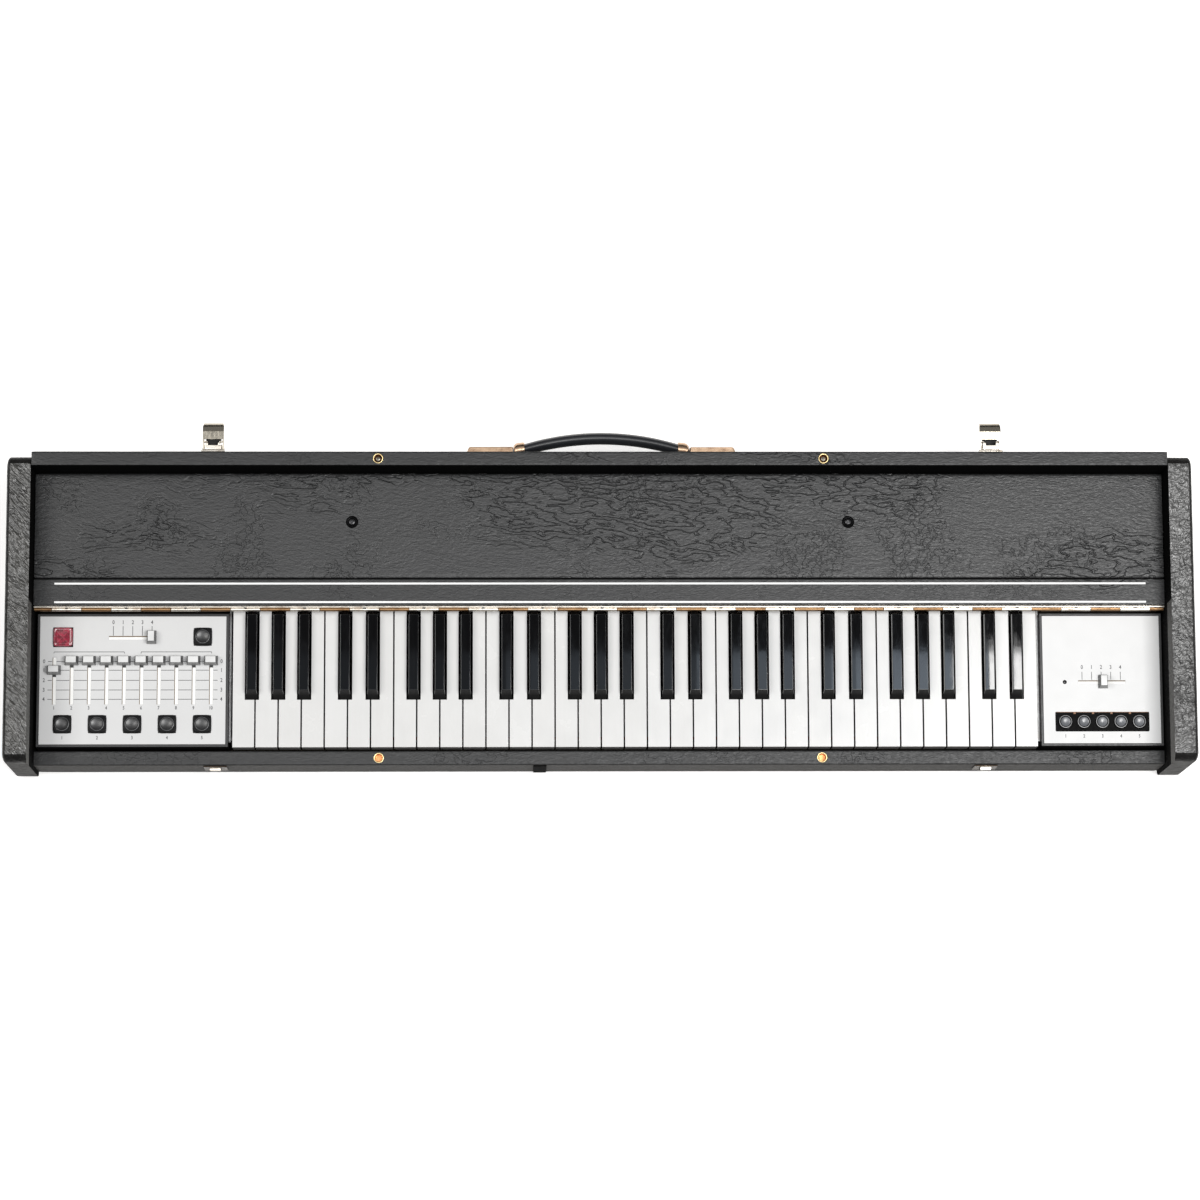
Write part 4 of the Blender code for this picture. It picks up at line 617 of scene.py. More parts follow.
def boardTree():  # a board wrapped in sheet: rounded edges, a fine grid, and swells pressed into its faces
    graph, given = newTree("wrappedBoard", {
        "Size": "Vector", "Centre": "Vector", "Round": "Vector", "Keep Low": "Vector", "Keep High": "Vector",
        "Spacing": "Vector", "Swell": "Float", "Swell Scale": "Float", "Turn": "Vector", "Stretch": "Vector", "Finish": "Material",
    })
    size = given("Size")
    counts = {}
    for axis in "XYZ":
        cells = graph.axis(size, axis) / graph.axis(given("Spacing"), axis)
        counts["Vertices " + axis] = cells.of("CEIL") + 1
    block = graph.add("GeometryNodeMeshCube", None, {"Size": size, **counts})
    place = graph.add("GeometryNodeInputPosition")
    edge = given("Round")
    inner = graph.vector("SUBTRACT", graph.vector("MULTIPLY", size, (0.5,) * 3), edge)
    outer = graph.vector("MULTIPLY", inner, (-1.0,) * 3)
    inner = graph.vector("ADD", inner, given("Keep High"))  # an edge is kept square where its rounding is given back
    outer = graph.vector("SUBTRACT", outer, given("Keep Low"))
    core = graph.vector("MINIMUM", graph.vector("MAXIMUM", place, outer), inner)
    out = graph.vector("NORMALIZE", graph.vector("DIVIDE", graph.vector("SUBTRACT", place, core), edge))
    rounded = graph.vector("ADD", core, graph.vector("MULTIPLY", out, edge))
    block = graph.add("GeometryNodeSetPosition", None, {"Geometry": block, "Position": rounded})
    placed = graph.vector("ADD", place, given("Centre"))
    turned = graph.add("ShaderNodeVectorRotate", {"rotation_type": "EULER_XYZ"}, {
        "Vector": placed, "Rotation": given("Turn"),
    })
    run = graph.vector("MULTIPLY", turned, given("Stretch"))
    swells = graph.add("ShaderNodeTexNoise", None, {
        "Vector": run, "Scale": given("Swell Scale"), "Detail": 2.0,
    })
    sink = swells * given("Swell") * -1.0
    offset = graph.vector("MULTIPLY", graph.add("GeometryNodeInputNormal"), sink)
    block = graph.add("GeometryNodeSetPosition", None, {"Geometry": block, "Offset": offset})
    block = graph.add("GeometryNodeTransform", None, {"Geometry": block, "Translation": given("Centre")})
    block = graph.add("GeometryNodeSetShadeSmooth", None, {"Geometry": block})
    return closeTree(graph, block, given("Finish"))


rowOfCopies = rowTree()
wrappedBoard = boardTree()


def repeated(name, shape, count, start, step, finish):  # a row of copies of a shape, which is used up
    piece = grown(name, rowOfCopies, {
        "Shape": shape, "Count": count, "Start": start, "Step": step, "Finish": finishes[finish],
    })
    bpy.data.objects.remove(shape)
    return piece


def wrapped(name, low, high, finish, edge, spacing=(0.004, 0.001, 0.0016), swell=0.0002, scale=60.0,
            turn=(0.0, 0.0, 0.0), stretch=(1.0, 1.0, 1.0), keep=((0.0,) * 3, (0.0,) * 3)):
    low = Vector(low)
    high = Vector(high)
    piece = grown(name, wrappedBoard, {
        "Size": high - low, "Centre": (low + high) / 2, "Round": edge, "Keep Low": keep[0], "Keep High": keep[1],
        "Spacing": spacing, "Swell": swell, "Swell Scale": scale, "Turn": turn, "Stretch": stretch,
        "Finish": finishes[finish],
    })
    piece.data.set_sharp_from_angle(angle=math.radians(55))
    return piece


def cutWith(piece, bm):  # takes the solids in bm out of a piece
    cutter = fromMesher("cutter", bm)
    modifier = piece.modifiers.new("cut", "BOOLEAN")
    modifier.operation = "DIFFERENCE"
    modifier.solver = "EXACT"
    modifier.object = cutter
    plainMesh(piece)
    bpy.data.objects.remove(cutter)
    return piece


# case

caseWrap = {"cheekRound": (0.0045, 0.0105, 0.0105), "cheekSpacing": (0.0012, 0.002, 0.002), "lapped": 0.031,
            "railRound": (0.0004, 0.0015, 0.0015)}
frontPad = {"left": -0.0686, "right": -0.0552, "thick": 0.0012}
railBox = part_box("front_rail")
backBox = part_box("back_board")
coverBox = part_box("top_cover")
lidSockets = {"spread": 0.226, "flange": 0.00515, "bore": 0.0038, "sleeve": 0.0041, "depth": 0.0075, "seat": 0.00075}
socketPlaces = [
    (x, (box[0].y + box[1].y) / 2, box[1].z)
    for box in (railBox, backBox) for x in (-lidSockets["spread"], lidSockets["spread"])
]


def seatCutter(places):
    bm = bmesh.new()
    for place in places:
        addStack(bm, place, [
            ("round", lidSockets["sleeve"] + 0.00005, -0.009), ("round", lidSockets["sleeve"] + 0.00005, -0.0008),
            ("round", 0.0053, -0.0008), ("round", 0.0053, 0.001),
        ])
    return bm


def caseBoards():
    for name, inner, finish in (("left_cheek", 1, "cheek"), ("right_cheek", -1, "rightCheek")):
        low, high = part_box(name)
        square = ((0.0,) * 3, (caseWrap["cheekRound"][0], 0.0, 0.0))
        cheek = wrapped(name + "_wrap", low, high, finish, caseWrap["cheekRound"], caseWrap["cheekSpacing"], 0.00035,
                        55.0, (0.0, 0.0, 0.55), (0.4, 1.5, 1.0), square[::inner])
        lap = high.z - caseWrap["lapped"]
        # painted shade: faces turned from the top take the darker rim copy
        painted(cheek, 2, lambda centre, normal: normal.z < 0.97)
        # painted shade: upright faces take the darker side copy
        painted(cheek, 3, lambda centre, normal: abs(normal.z) < 0.10)
        # painted reflection: the inner face takes the lighter lap copy
        painted(cheek, 4, lambda centre, normal: normal.x * inner > 0.9)
        # painted shade: the inner face below the lap and behind the cover's front goes near-black
        painted(cheek, 1, lambda centre, normal: normal.x * inner > 0.9 and (centre.z < lap or centre.y > coverBox[0].y))
        dressed(cheek, "case", ["inside", "cheekRim", "cheekSide", "lap"], [name])
    rail = wrapped("front_rail_wrap", *railBox, "rail", caseWrap["railRound"])
    rail.data.materials.append(finishes["inside"])
    rail.data.materials.append(finishes["railFace"])
    # painted shade: the rail's back face goes near-black
    painted(rail, 1, lambda centre, normal: normal.y > 0.9)
    # painted light and shade: the front face takes its own copy
    painted(rail, 2, lambda centre, normal: normal.y < -0.7)
    cutWith(rail, seatCutter(socketPlaces[:2]))
    dressed(rail, "case", [], ["front_rail"])
    back = wrapped("back_board_wrap", *backBox, "rail", caseWrap["railRound"], (0.004, 0.001, 0.0026))
    back.data.materials.append(finishes["inside"])
    # painted shade: the back board's front face, seen in the gap above the cover, goes near-black
    painted(back, 1, lambda centre, normal: normal.y < -0.9)
    bm = seatCutter(socketPlaces[2:])
    low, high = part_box("socket_panel")
    edge = 0.003
    addBox(bm, (low.x + edge, backBox[0].y - edge, low.z + edge), (high.x - edge, backBox[1].y + edge, high.z - edge))
    cutWith(back, bm)
    dressed(back, "case", [], ["back_board"])
    bm = bmesh.new()
    addBox(bm, (frontPad["left"], railBox[0].y - frontPad["thick"], railBox[0].z + 0.003),
           (frontPad["right"], railBox[0].y + 0.0002, railBox[1].z - 0.002))
    bmesh.ops.bevel(bm, geom=bm.edges[:], offset=0.0004, segments=2, affect="EDGES", profile=0.5)
    dressed(smoothed(fromMesher("front_pad", bm), 40), "case", ["inside"])
    clad("bottom_board", "bareBoard")
    clad("hinge_rail", "black")


def socketNear(centre):
    return min((p[:2] for p in socketPlaces), key=lambda p: (Vector(p) - centre.xy).length)


def lidSocketRings():
    s = lidSockets
    bm = bmesh.new()
    for x, y, z in socketPlaces:
        addStack(bm, (x, y, z - 0.00004), [
            ("round", s["bore"] - 0.0002, -s["depth"] - 0.0005), ("round", s["sleeve"], -s["depth"] - 0.0003),
            ("round", s["sleeve"], -s["seat"]), ("round", s["flange"], -s["seat"]),
            ("round", s["flange"], -0.00018), ("round", s["flange"] - 0.0002, 0.0),
            ("round", s["bore"] + 0.0007, 0.0), ("round", s["bore"] + 0.0002, -0.00022),
            ("round", s["bore"], -0.0008), ("round", s["bore"], -s["depth"]), ("round", 0.001, -s["depth"]),
        ])
    rings = smoothed(fromMesher("lid_socket_rings", bm), 50)
    dressed(rings, "case", ["socket", "socketCup"])
    # painted shade: the faces inside the bore take a darker copper
    painted(rings, 1, lambda centre, normal: (centre.xy - Vector(socketNear(centre))).length < s["bore"] + 0.0001)
    bm = bmesh.new()
    for x, y, z in socketPlaces[2:]:  # the rear sockets show the head of the screw that holds them
        addStack(bm, (x, y, z - 0.0020), [
            ("round", 0.0030, -0.0050), ("round", 0.0035, -0.0045), ("round", 0.0035, -0.0014),
            ("round", 0.0029, -0.0005), ("round", 0.0017, 0.0), ("round", 0.0010, 0.0), ("round", 0.0006, -0.0007),
        ], 24)
    domes = smoothed(fromMesher("lid_socket_screws", bm), 50)
    dressed(domes, "case", ["screwGrey"])


caseBoards()
lidSocketRings()
print("case: boards wrapped, lid sockets set")


# cover

coverParts = {"round": (0.0010, 0.0014, 0.0014), "stripRound": (0.0006, 0.0008, 0.0008), "stripGap": 0.0008, "screwSpread": 0.2533, "screwBack": 0.0859,
              "washer": 0.00635, "head": 0.0046, "hex": 0.0016}
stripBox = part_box("name_strip")
pinstripes = {"left": 0.0211, "right": 0.0193, "rows": ((0.0022, 0.0041), (0.0213, 0.0232)), "thick": 0.00008}


def coverBoard():
    low, high = coverBox
    front = stripBox[1].y + coverParts["stripGap"]
    board = wrapped("cover_board_wrap", (low.x, front, low.z), high, "cover", coverParts["round"],
                    (0.004, 0.0025, 0.0008), 0.00022, 42.0, (0.0, 0.0, 0.2), (0.5, 1.2, 1.0))
    # the tongue under the strip is near-black: painted shade in the gap between strip and board
    tongue = wrapped("tongue", (low.x, low.y, low.z), (high.x, front + 0.001, stripBox[0].z - 0.0003), "inside",
                     (0.0006,) * 3, (0.02,) * 3, 0.0)
    bm = bmesh.new()
    bm.from_mesh(board.data)
    count = len(bm.faces)
    bm.from_mesh(tongue.data)
    bm.faces.ensure_lookup_table()
    for face in bm.faces[count:]:
        face.material_index = 1
    bm.to_mesh(board.data)
    bm.free()
    bpy.data.objects.remove(tongue)
    painted(board, 2, lambda centre, normal: normal.z < -0.9)
    dressed(board, "cover", ["inside", "bareBoard"], ["top_cover"])
    strip = wrapped("name_strip_wrap", *stripBox, "strip", coverParts["stripRound"], (0.004, 0.0009, 0.0006), 0.0001)
    dressed(strip, "cover", [], ["name_strip"])


def pinstripePrint():
    low, high = stripBox
    bm = bmesh.new()
    for near, far in pinstripes["rows"]:
        addBox(bm, (low.x + pinstripes["left"], low.y + near, high.z - pinstripes["thick"]),
               (high.x - pinstripes["right"], low.y + far, high.z + pinstripes["thick"]))
    dressed(fromMesher("pinstripes", bm), "cover", ["white"])


def coverScrews():
    c = coverParts
    bm = bmesh.new()
    addStack(bm, (0.0, 0.0, 0.0), [  # cup washer
        ("round", 0.0030, 0.0), ("round", c["washer"], 0.0), ("round", c["washer"] - 0.0001, 0.0005),
        ("round", c["washer"] - 0.0007, 0.0013), ("round", 0.0050, 0.0017), ("round", 0.00475, 0.0012),
        ("round", 0.0040, 0.0010),
    ])
    addStack(bm, (0.0, 0.0, 0.0006), [  # button head with a hexagonal socket
        ("round", 0.0020, 0.0), ("round", c["head"], 0.0), ("round", c["head"] - 0.0001, 0.0007),
        ("round", 0.0039, 0.0016), ("round", 0.0028, 0.0022), ("hex", c["hex"] + 0.0002, 0.0024),
        ("hex", c["hex"], 0.0022), ("hex", c["hex"], 0.0006),
    ])
    addStack(bm, (0.0, 0.0, -0.014), [("round", 0.0017, 0.0), ("round", 0.0017, 0.0142)], 16)  # shank
    shape = smoothed(fromMesher("screw", bm), 50)
    start = (-c["screwSpread"], coverBox[0].y + c["screwBack"], coverBox[1].z - 0.0001)
    screws = repeated("cover_screws", shape, 2, start, (2 * c["screwSpread"], 0.0, 0.0), "blackSteel")
    dressed(screws, "cover", [])


coverBoard()
pinstripePrint()
coverScrews()
print("cover: board, strip, pinstripes and screws")


# hinge

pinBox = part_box("hinge_pin")
hinge = {"axis": ((pinBox[0] + pinBox[1]) / 2).yz, "radius": 0.0020, "first": 0.0177, "pitch": 0.0303,
         "knuckles": 37, "gap": 0.0004, "leafFront": 0.0011, "leafThick": 0.0010, "screwRise": 0.0032}


def knuckle(length):
    r = hinge["radius"]
    bm = bmesh.new()
    rows = []
    for x, reach in ((0.0, r - 0.00025), (0.0002, r), (length - 0.0002, r), (length, r - 0.00025)):
        rows.append([(x, reach * math.sin(2 * math.pi * k / 20), reach * math.cos(2 * math.pi * k / 20)) for k in range(20)])
    addRows(bm, rows[::-1])
    bmesh.ops.recalc_face_normals(bm, faces=bm.faces)
    return smoothed(fromMesher("knuckle", bm), 60)


def leafHead():
    bm = bmesh.new()
    rows = []
    for depth, reach in ((0.0, 0.0016), (-0.0003, 0.0017), (-0.0009, 0.0013), (-0.0011, 0.0007)):
        rows.append([(reach * math.cos(math.pi * k / 8), depth, reach * math.sin(math.pi * k / 8)) for k in range(16)])
    addRows(bm, rows)
    bmesh.ops.recalc_face_normals(bm, faces=bm.faces)
    return smoothed(fromMesher("leafHead", bm), 50)


def joined(name, pieces, angle=None):
    bm = bmesh.new()
    for piece in pieces:
        bm.from_mesh(piece.data)
        bpy.data.objects.remove(piece)
    whole = fromMesher(name, bm)
    whole.data.shade_smooth()
    whole.data.set_sharp_from_angle(angle=math.radians(angle or 50))
    return whole


def addLeaf(bm, low, high, skip):  # a strip of sheet in lengths, left out where the other leaf's knuckles turn
    y = hinge["axis"][0] + hinge["leafFront"]
    for left, right in skip:
        addBox(bm, (left, y, low), (right, y + hinge["leafThick"], high))


def hingeLeaves():
    y, z = hinge["axis"]
    left = pinBox[0].x
    right = pinBox[1].x
    pitch = hinge["pitch"]
    first = left + hinge["first"]
    gap = hinge["gap"]
    coverCount = (hinge["knuckles"] + 1) // 2
    fixedCount = hinge["knuckles"] // 2
    last = first + hinge["knuckles"] * pitch
    length = pitch - gap
    row = repeated("nickelRow", knuckle(length), coverCount, (first + gap / 2, y, z), (2 * pitch, 0.0, 0.0), "hingeNickel")
    bm = bmesh.new()
    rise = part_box("hinge_cover_leaf")[1].z
    addBox(bm, (left, y + hinge["leafFront"], z + hinge["radius"] + 0.0004), (right, y + hinge["leafFront"] + 0.001, rise))
    spans = [(first + 2 * k * pitch + gap / 2, first + (2 * k + 1) * pitch - gap / 2) for k in range(coverCount)]
    addLeaf(bm, z, z + hinge["radius"] + 0.0004, spans)
    upper = joined("cover_leaf_nickel", [row, fromMesher("leaf", bm)])
    dressed(upper, "cover", ["hingeNickel"], ["hinge_cover_leaf"])
    start = (first + pitch / 2, y + hinge["leafFront"], z + hinge["screwRise"])
    heads = repeated("hinge_screws", leafHead(), coverCount, start, (2 * pitch, 0.0, 0.0), "blackSteel")
    dressed(heads, "cover", [])
    inner = repeated("brassRow", knuckle(length), fixedCount, (first + pitch + gap / 2, y, z), (2 * pitch, 0.0, 0.0), "hingeBrass")
    ends = []
    for low, high in ((left, first - gap / 2), (last + gap / 2, right)):
        end = knuckle(high - low)
        end.data.transform(Matrix.Translation((low, y, z)))
        ends.append(end)
    bm = bmesh.new()
    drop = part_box("hinge_fixed_leaf")[0].z
    addBox(bm, (left, y + hinge["leafFront"], drop), (right, y + hinge["leafFront"] + 0.001, z - hinge["radius"] - 0.0004))
    spans = [(first + (2 * k + 1) * pitch + gap / 2, first + (2 * k + 2) * pitch - gap / 2) for k in range(fixedCount)]
    spans += [(left, first - gap / 2), (last + gap / 2, right)]
    addLeaf(bm, z - hinge["radius"] - 0.0004, z, spans)
    lower = joined("fixed_leaf_brass", [inner, *ends, fromMesher("leaf", bm)])
    dressed(lower, "case", ["hingeBrass"], ["hinge_fixed_leaf"])
    clad("hinge_pin", "steel")


hingeLeaves()
print("hinge: two leaves with their knuckles and screws")


# keys

keyLook = {"edge": 0.00042, "sharpEdge": 0.0006, "capLow": 0.0565}


def keyGroups():
    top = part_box("lower_naturals")[1].z
    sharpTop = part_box("lower_sharps")[1].z
    for octaves in ("lower", "upper"):
        node = octaves + "_naturals"
        chosen = lambda edge: max(v.co.z for v in edge.verts) > top - 0.0002
        group = softened(node + "_caps", node, keyLook["edge"], chosen)
        dressed(group, node, ["ivory", "ivorySide", "ivoryLip"], [node])
        # painted shade: the keys' sides go dark brown so the gaps between keys read dark
        painted(group, 1, lambda centre, normal: abs(normal.x) > 0.6)
        # painted shade: the keys' lower front faces take a greyer copy of the ivory
        painted(group, 2, lambda centre, normal: normal.y < -0.8 and centre.z < top - 0.0006)
        node = octaves + "_sharps"
        chosen = lambda edge: max(v.co.z for v in edge.verts) > sharpTop - 0.0002
        group = softened(node + "_caps", node, keyLook["sharpEdge"], chosen)
        dressed(group, node, ["ebony", "ebonyNose"], [node])
        painted(group, 1, lambda centre, normal: normal.y < -0.8 and centre.z > top - 0.010)


def feltStrips():
    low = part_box("lower_naturals")[0]
    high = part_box("upper_naturals")[1]
    bm = bmesh.new()
    rail = low.z + 0.0006
    addBox(bm, (low.x, low.y + 0.0094, rail - 0.0010), (high.x, low.y + 0.0128, rail + 0.0006))
    dressed(fromMesher("front_felt", bm), "case", ["felt"])


keyGroups()
feltStrips()
clad("key_frame", "steel")
print("keys: 35 naturals, 25 sharps")


# control panels

sliderNodes = [f"voice_slider_{k + 1}" for k in range(10)]
buttonNodes = [f"voice_button_{k + 1}" for k in range(5)]
soloNodes = [f"solo_button_{k + 1}" for k in range(5)]


def middleOf(node):
    low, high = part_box(node)
    return (low + high) / 2


def panelPlates():
    for node, side in (("left_panel", "left"), ("right_panel", "right")):
        plate = softened(node + "_plate", node, 0.0003, lambda edge: min(v.co.z for v in edge.verts) > plateTop - 0.0002)
        finish, slot = ("plate", "plate_grey") if side == "left" else ("whitePlate", "plate_white")
        dressed(plate, "case", [finish], [node])
        ring = softened(side + "_frame_ring", side + "_panel_frame", 0.0004,
                        lambda edge: min(v.co.z for v in edge.verts) > plateTop - 0.0002)
        dressed(ring, "case", ["frame"], [side + "_panel_frame"])
        under = softened(side + "_switch_board", side + "_panel_board", 0.0003,
                         lambda edge: min(v.co.z for v in edge.verts) > plateTop - 0.001)
        dressed(under, "case", ["board", "housing"], [side + "_panel_board"])
        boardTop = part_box(side + "_panel_board")[0].z + 0.0018
        painted(under, 1, lambda centre, normal: centre.z > boardTop)


knobLook = {"across": 0.93, "along": 0.85, "aside": 0.0002}
stemTab = {"half": 0.0018, "ahead": 0.0022, "low": 0.0002, "high": 0.0007}


def knobs():
    k = knobLook
    for node in [*sliderNodes, "sustain_slider", "volume_slider"]:
        knob = softened(node + "_knob", node, 0.0005, lambda edge: max(v.co.z for v in edge.verts) > plateTop + 0.002)
        low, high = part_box(node)
        x = (low.x + high.x) / 2
        across, along = (k["across"], k["along"]) if node in sliderNodes else (k["along"], k["across"])
        for vert in knob.data.vertices:  # the cap is a little smaller than the solid it stands for
            if vert.co.z > plateTop + 0.0006:
                vert.co.x = x - k["aside"] + (vert.co.x - x) * across
                vert.co.y = high.y + (vert.co.y - high.y) * along
        dressed(knob, node, ["knobShadedSide", "knobLitTop", "knobShadedFront"], [node])
        # painted light and shade: the top takes the lightest copy, the front a mid grey, the sides a dark grey
        painted(knob, 1, lambda centre, normal: normal.z > 0.75)
        painted(knob, 2, lambda centre, normal: normal.y < -0.75)
    for node in sliderNodes:  # the end of each stem shows in front of its knob
        low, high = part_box(node)
        x = (low.x + high.x) / 2
        front = high.y - (high.y - low.y) * k["along"]
        bm = bmesh.new()
        addBox(bm, (x - stemTab["half"], front - stemTab["ahead"], plateTop + stemTab["low"]),
               (x + stemTab["half"], front + 0.002, plateTop + stemTab["high"]))
        dressed(fromMesher(node + "_tab", bm), node, ["stemTab"])


slots = {"bead": 0.0006, "width": 0.0036, "length": 0.0483, "low": 0.0010, "high": 0.0003, "pitch": 0.01773, "middle": 0.0651}


def dustLips():  # white rubber lips in the slots, which the stems part; a darker bead along one side
    w = slots["width"] / 2
    run = slots["length"] / 2
    bead = slots["bead"]
    low, high = -slots["low"], -slots["high"]
    first = middleOf(sliderNodes[0]).x
    y = plateBox[0].y + slots["middle"]
    bm = bmesh.new()
    addBox(bm, (-w, -run, low), (w, run, high))
    row = repeated("slider_lips", fromMesher("lip", bm), 10, (first, y, plateTop), (slots["pitch"], 0.0, 0.0), "lip")
    dressed(row, "case", [])
    # the bead along one side is dark brown: partly the track's edge, partly painted shadow of the plate's edge
    bm = bmesh.new()
    addBox(bm, (-w, -run, low), (bead - w, run, -0.0002))
    row = repeated("slider_beads", fromMesher("bead", bm), 10, (first, y, plateTop), (slots["pitch"], 0.0, 0.0), "lipEdge")
    dressed(row, "case", [])
    bm = bmesh.new()
    for x, y in levelSlots:
        addBox(bm, (x - run, y - w, plateTop + low), (x + run, y + w, plateTop + high))
    dressed(fromMesher("level_lips", bm), "case", ["lip"])
    # a dark brown bead along the far edge of each level slot, partly painted shadow of the plate's edge
    bm = bmesh.new()
    for x, y in levelSlots:
        addBox(bm, (x - run, y + w - 1.6 * bead, plateTop + low), (x + run, y + w, plateTop - 0.0002))
    dressed(fromMesher("level_beads", bm), "case", ["lipEdge"])


leftMiddle = (plateBox[0].x + plateBox[1].x) / 2
rightMiddle = (rightPlateBox[0].x + rightPlateBox[1].x) / 2
levelSlots = [
    (leftMiddle - 0.0005, middleOf("sustain_slider").y), (rightMiddle + 0.0003, middleOf("volume_slider").y),
]

bezelLook = {"wider": 0.0007, "within": 0.00005, "high": 0.0007, "low": 0.0008}
capLook = {"dish": 0.0066, "sink": 0.0013, "ring": 0.00020, "edge": 0.0010, "soloDish": 0.0056}


def dishRims(edgeShape, half, thick, stem):  # a cap with a hollowed dish and a fine ring round it
    c = capLook
    rims = [("round", stem, -thick - 0.0088), ("round", stem, -thick), (edgeShape, half - 0.0003, -thick)]
    rims += [(edgeShape, half, -thick + 0.0004), (edgeShape, half, -c["edge"])]
    for k in range(1, 4):
        turn = math.radians(30 * k)
        rims.append((edgeShape, half - c["edge"] * (1 - math.cos(turn)), -c["edge"] * (1 - math.sin(turn))))
    rims += [("round", c["dish"] + 0.0005, 0.0), ("round", c["dish"] + 0.0003, c["ring"])]
    rims += [("round", c["dish"], c["ring"]), ("round", c["dish"] - 0.0002, -0.0001)]
    for k in range(1, 8):
        share = 1 - k / 8
        rims.append(("round", c["dish"] * share, -c["sink"] * (1 - share ** 2)))
    return rims


def paintedRings(cap, centre, above, ring, dish=1.0):  # the ring takes the second finish, what it holds the third
    # the ring's lighter finish is a painted highlight
    for face in cap.data.polygons:
        reach = (face.center.xy - centre.xy).length
        if face.center.z > above and reach < ring[1]:
            face.material_index = 1 if reach > ring[0] else 2 if reach < ring[0] * dish else 0


def buttons():
    for node in [*buttonNodes, "bass_button"]:
        low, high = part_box(node)
        centre = (low + high) / 2
        bm = bmesh.new()
        addStack(bm, (centre.x, centre.y, high.z), dishRims("square", (high.x - low.x) / 2, 0.0067, 0.003), 64)
        cap = smoothed(fromMesher(node + "_cap", bm), 50)
        dressed(cap, node, ["button", "buttonRingHighlight", "buttonDish"], [node])
        paintedRings(cap, centre, high.z - 0.002, (capLook["dish"] - 0.0001, capLook["dish"] + 0.0004))
    for node in soloNodes:
        low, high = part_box(node)
        centre = (low + high) / 2
        bm = bmesh.new()
        dish = capLook["soloDish"]
        rims = [("round", 0.0030, -0.0140), ("round", 0.0030, -0.0095), ("round", 0.0064, -0.0095),
                ("round", 0.0066, -0.0092), ("round", 0.0066, -0.0006), ("round", 0.0064, -0.0001),
                ("round", dish + 0.0003, 0.0), ("round", dish - 0.0002, -0.0004)]
        for k in range(1, 8):
            share = 1 - k / 8
            rims.append(("round", dish * share, -0.0004 - 0.0012 * (1 - share ** 2)))
        addStack(bm, (centre.x, centre.y, high.z), rims, 48)
        cap = smoothed(fromMesher(node + "_cap", bm), 50)
        # the ring's light grey is a painted highlight
        dressed(cap, node, ["button", "soloRingHighlight", "soloCap"], [node])
        paintedRings(cap, centre, high.z - 0.002, (dish + 0.0001, 0.0066), 0.86)
    bm = bmesh.new()
    b = bezelLook
    for node in [*buttonNodes, "bass_button", "power_button"]:
        low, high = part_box(node)
        centre = (low + high) / 2
        half = (high.x - low.x) / 2 + b["within"]
        wide = half + b["wider"] * (0.4 if node == "power_button" else 1.0)
        addRing(bm, (centre.x, centre.y, plateTop), [
            ("square", wide, -b["low"]), ("square", wide, b["high"] - 0.0002), ("square", wide - 0.0002, b["high"]),
            ("square", half, b["high"]), ("square", half, -b["low"]),
        ], 64)
    bezels = smoothed(fromMesher("button_bezels", bm), 50)
    dressed(bezels, "case", ["button"])
    low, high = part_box("power_button")
    centre = (low + high) / 2
    bm = bmesh.new()
    half = (high.x - low.x) / 2
    addStack(bm, (centre.x, centre.y, high.z), [
        ("round", 0.0030, -0.0157), ("round", 0.0030, -0.0067), ("square", half - 0.0004, -0.0067),
        ("square", half, -0.0062), ("square", half, -0.0009), ("square", half - 0.0003, -0.0003),
        ("square", half - 0.0009, 0.0), ("square", half - 0.0016, -0.00015), ("square", half - 0.0020, -0.0005),
        ("square", half * 0.6, -0.00042), ("square", half * 0.3, -0.00035),
    ], 64)
    dressed(smoothed(fromMesher("power_button_lens", bm), 50), "power_button", ["red"], ["power_button"])
    # four small pale domes at the lens's corners; their pale colour is a painted highlight
    bm = bmesh.new()
    spot = half - 0.0024
    for sx in (-1, 1):
        for sy in (-1, 1):
            addStack(bm, (centre.x + sx * spot, centre.y + sy * spot, high.z - 0.0006), [
                ("round", 0.0011, 0.0), ("round", 0.0011, 0.0003), ("round", 0.0008, 0.0006), ("round", 0.0003, 0.0007),
            ], 16)
    dressed(smoothed(fromMesher("power_button_spots", bm), 60), "power_button", ["redSpot"])


scaleLook = {
    "rows": (0.0851, 0.0761, 0.0657, 0.0558, 0.0462), "half": 0.0864, "digits": 0.0903, "ink": 0.00062,
    "thick": 0.00003, "weight": 0.00010, "size": 0.0056, "bracketBack": 0.0950, "brackets": ((-0.0804, -0.0087), (0.0082, 0.0800)),
    "bracketDrop": 0.0016, "ticks": 5, "tickPitch": 0.00984,
    "sustain": {"first": -0.02025, "from": 0.1117, "to": 0.1217, "digits": 0.1254},
    "volume": {"first": -0.0199, "from": 0.0655, "to": 0.0737, "digits": 0.0784},
    "underSliders": 0.0372, "underButtons": 0.0066, "underSolo": 0.0073,
}


def addDigit(bm, text, x, y, size):
    curve = bpy.data.curves.new("digit", "FONT")
    curve.body = text
    curve.size = size
    curve.extrude = scaleLook["thick"]
    curve.offset = scaleLook["weight"]
    curve.align_x = "CENTER"
    curve.align_y = "CENTER"
    shape = addObject("digit", curve)
    bpy.context.view_layer.update()
    mesh = bpy.data.meshes.new_from_object(shape.evaluated_get(bpy.context.evaluated_depsgraph_get()))
    mesh.transform(Matrix.Translation((x, y, plateTop + scaleLook["thick"])) @ Matrix.Diagonal((0.8, 1.0, 1.0, 1.0)))
    bm.from_mesh(mesh)
    bpy.data.objects.remove(shape)
    bpy.data.meshes.remove(mesh)


def addInk(bm, x, y):  # a printed bar; x and y are its spans
    addBox(bm, (x[0], y[0], plateTop - 0.00002), (x[1], y[1], plateTop + scaleLook["thick"] * 2))


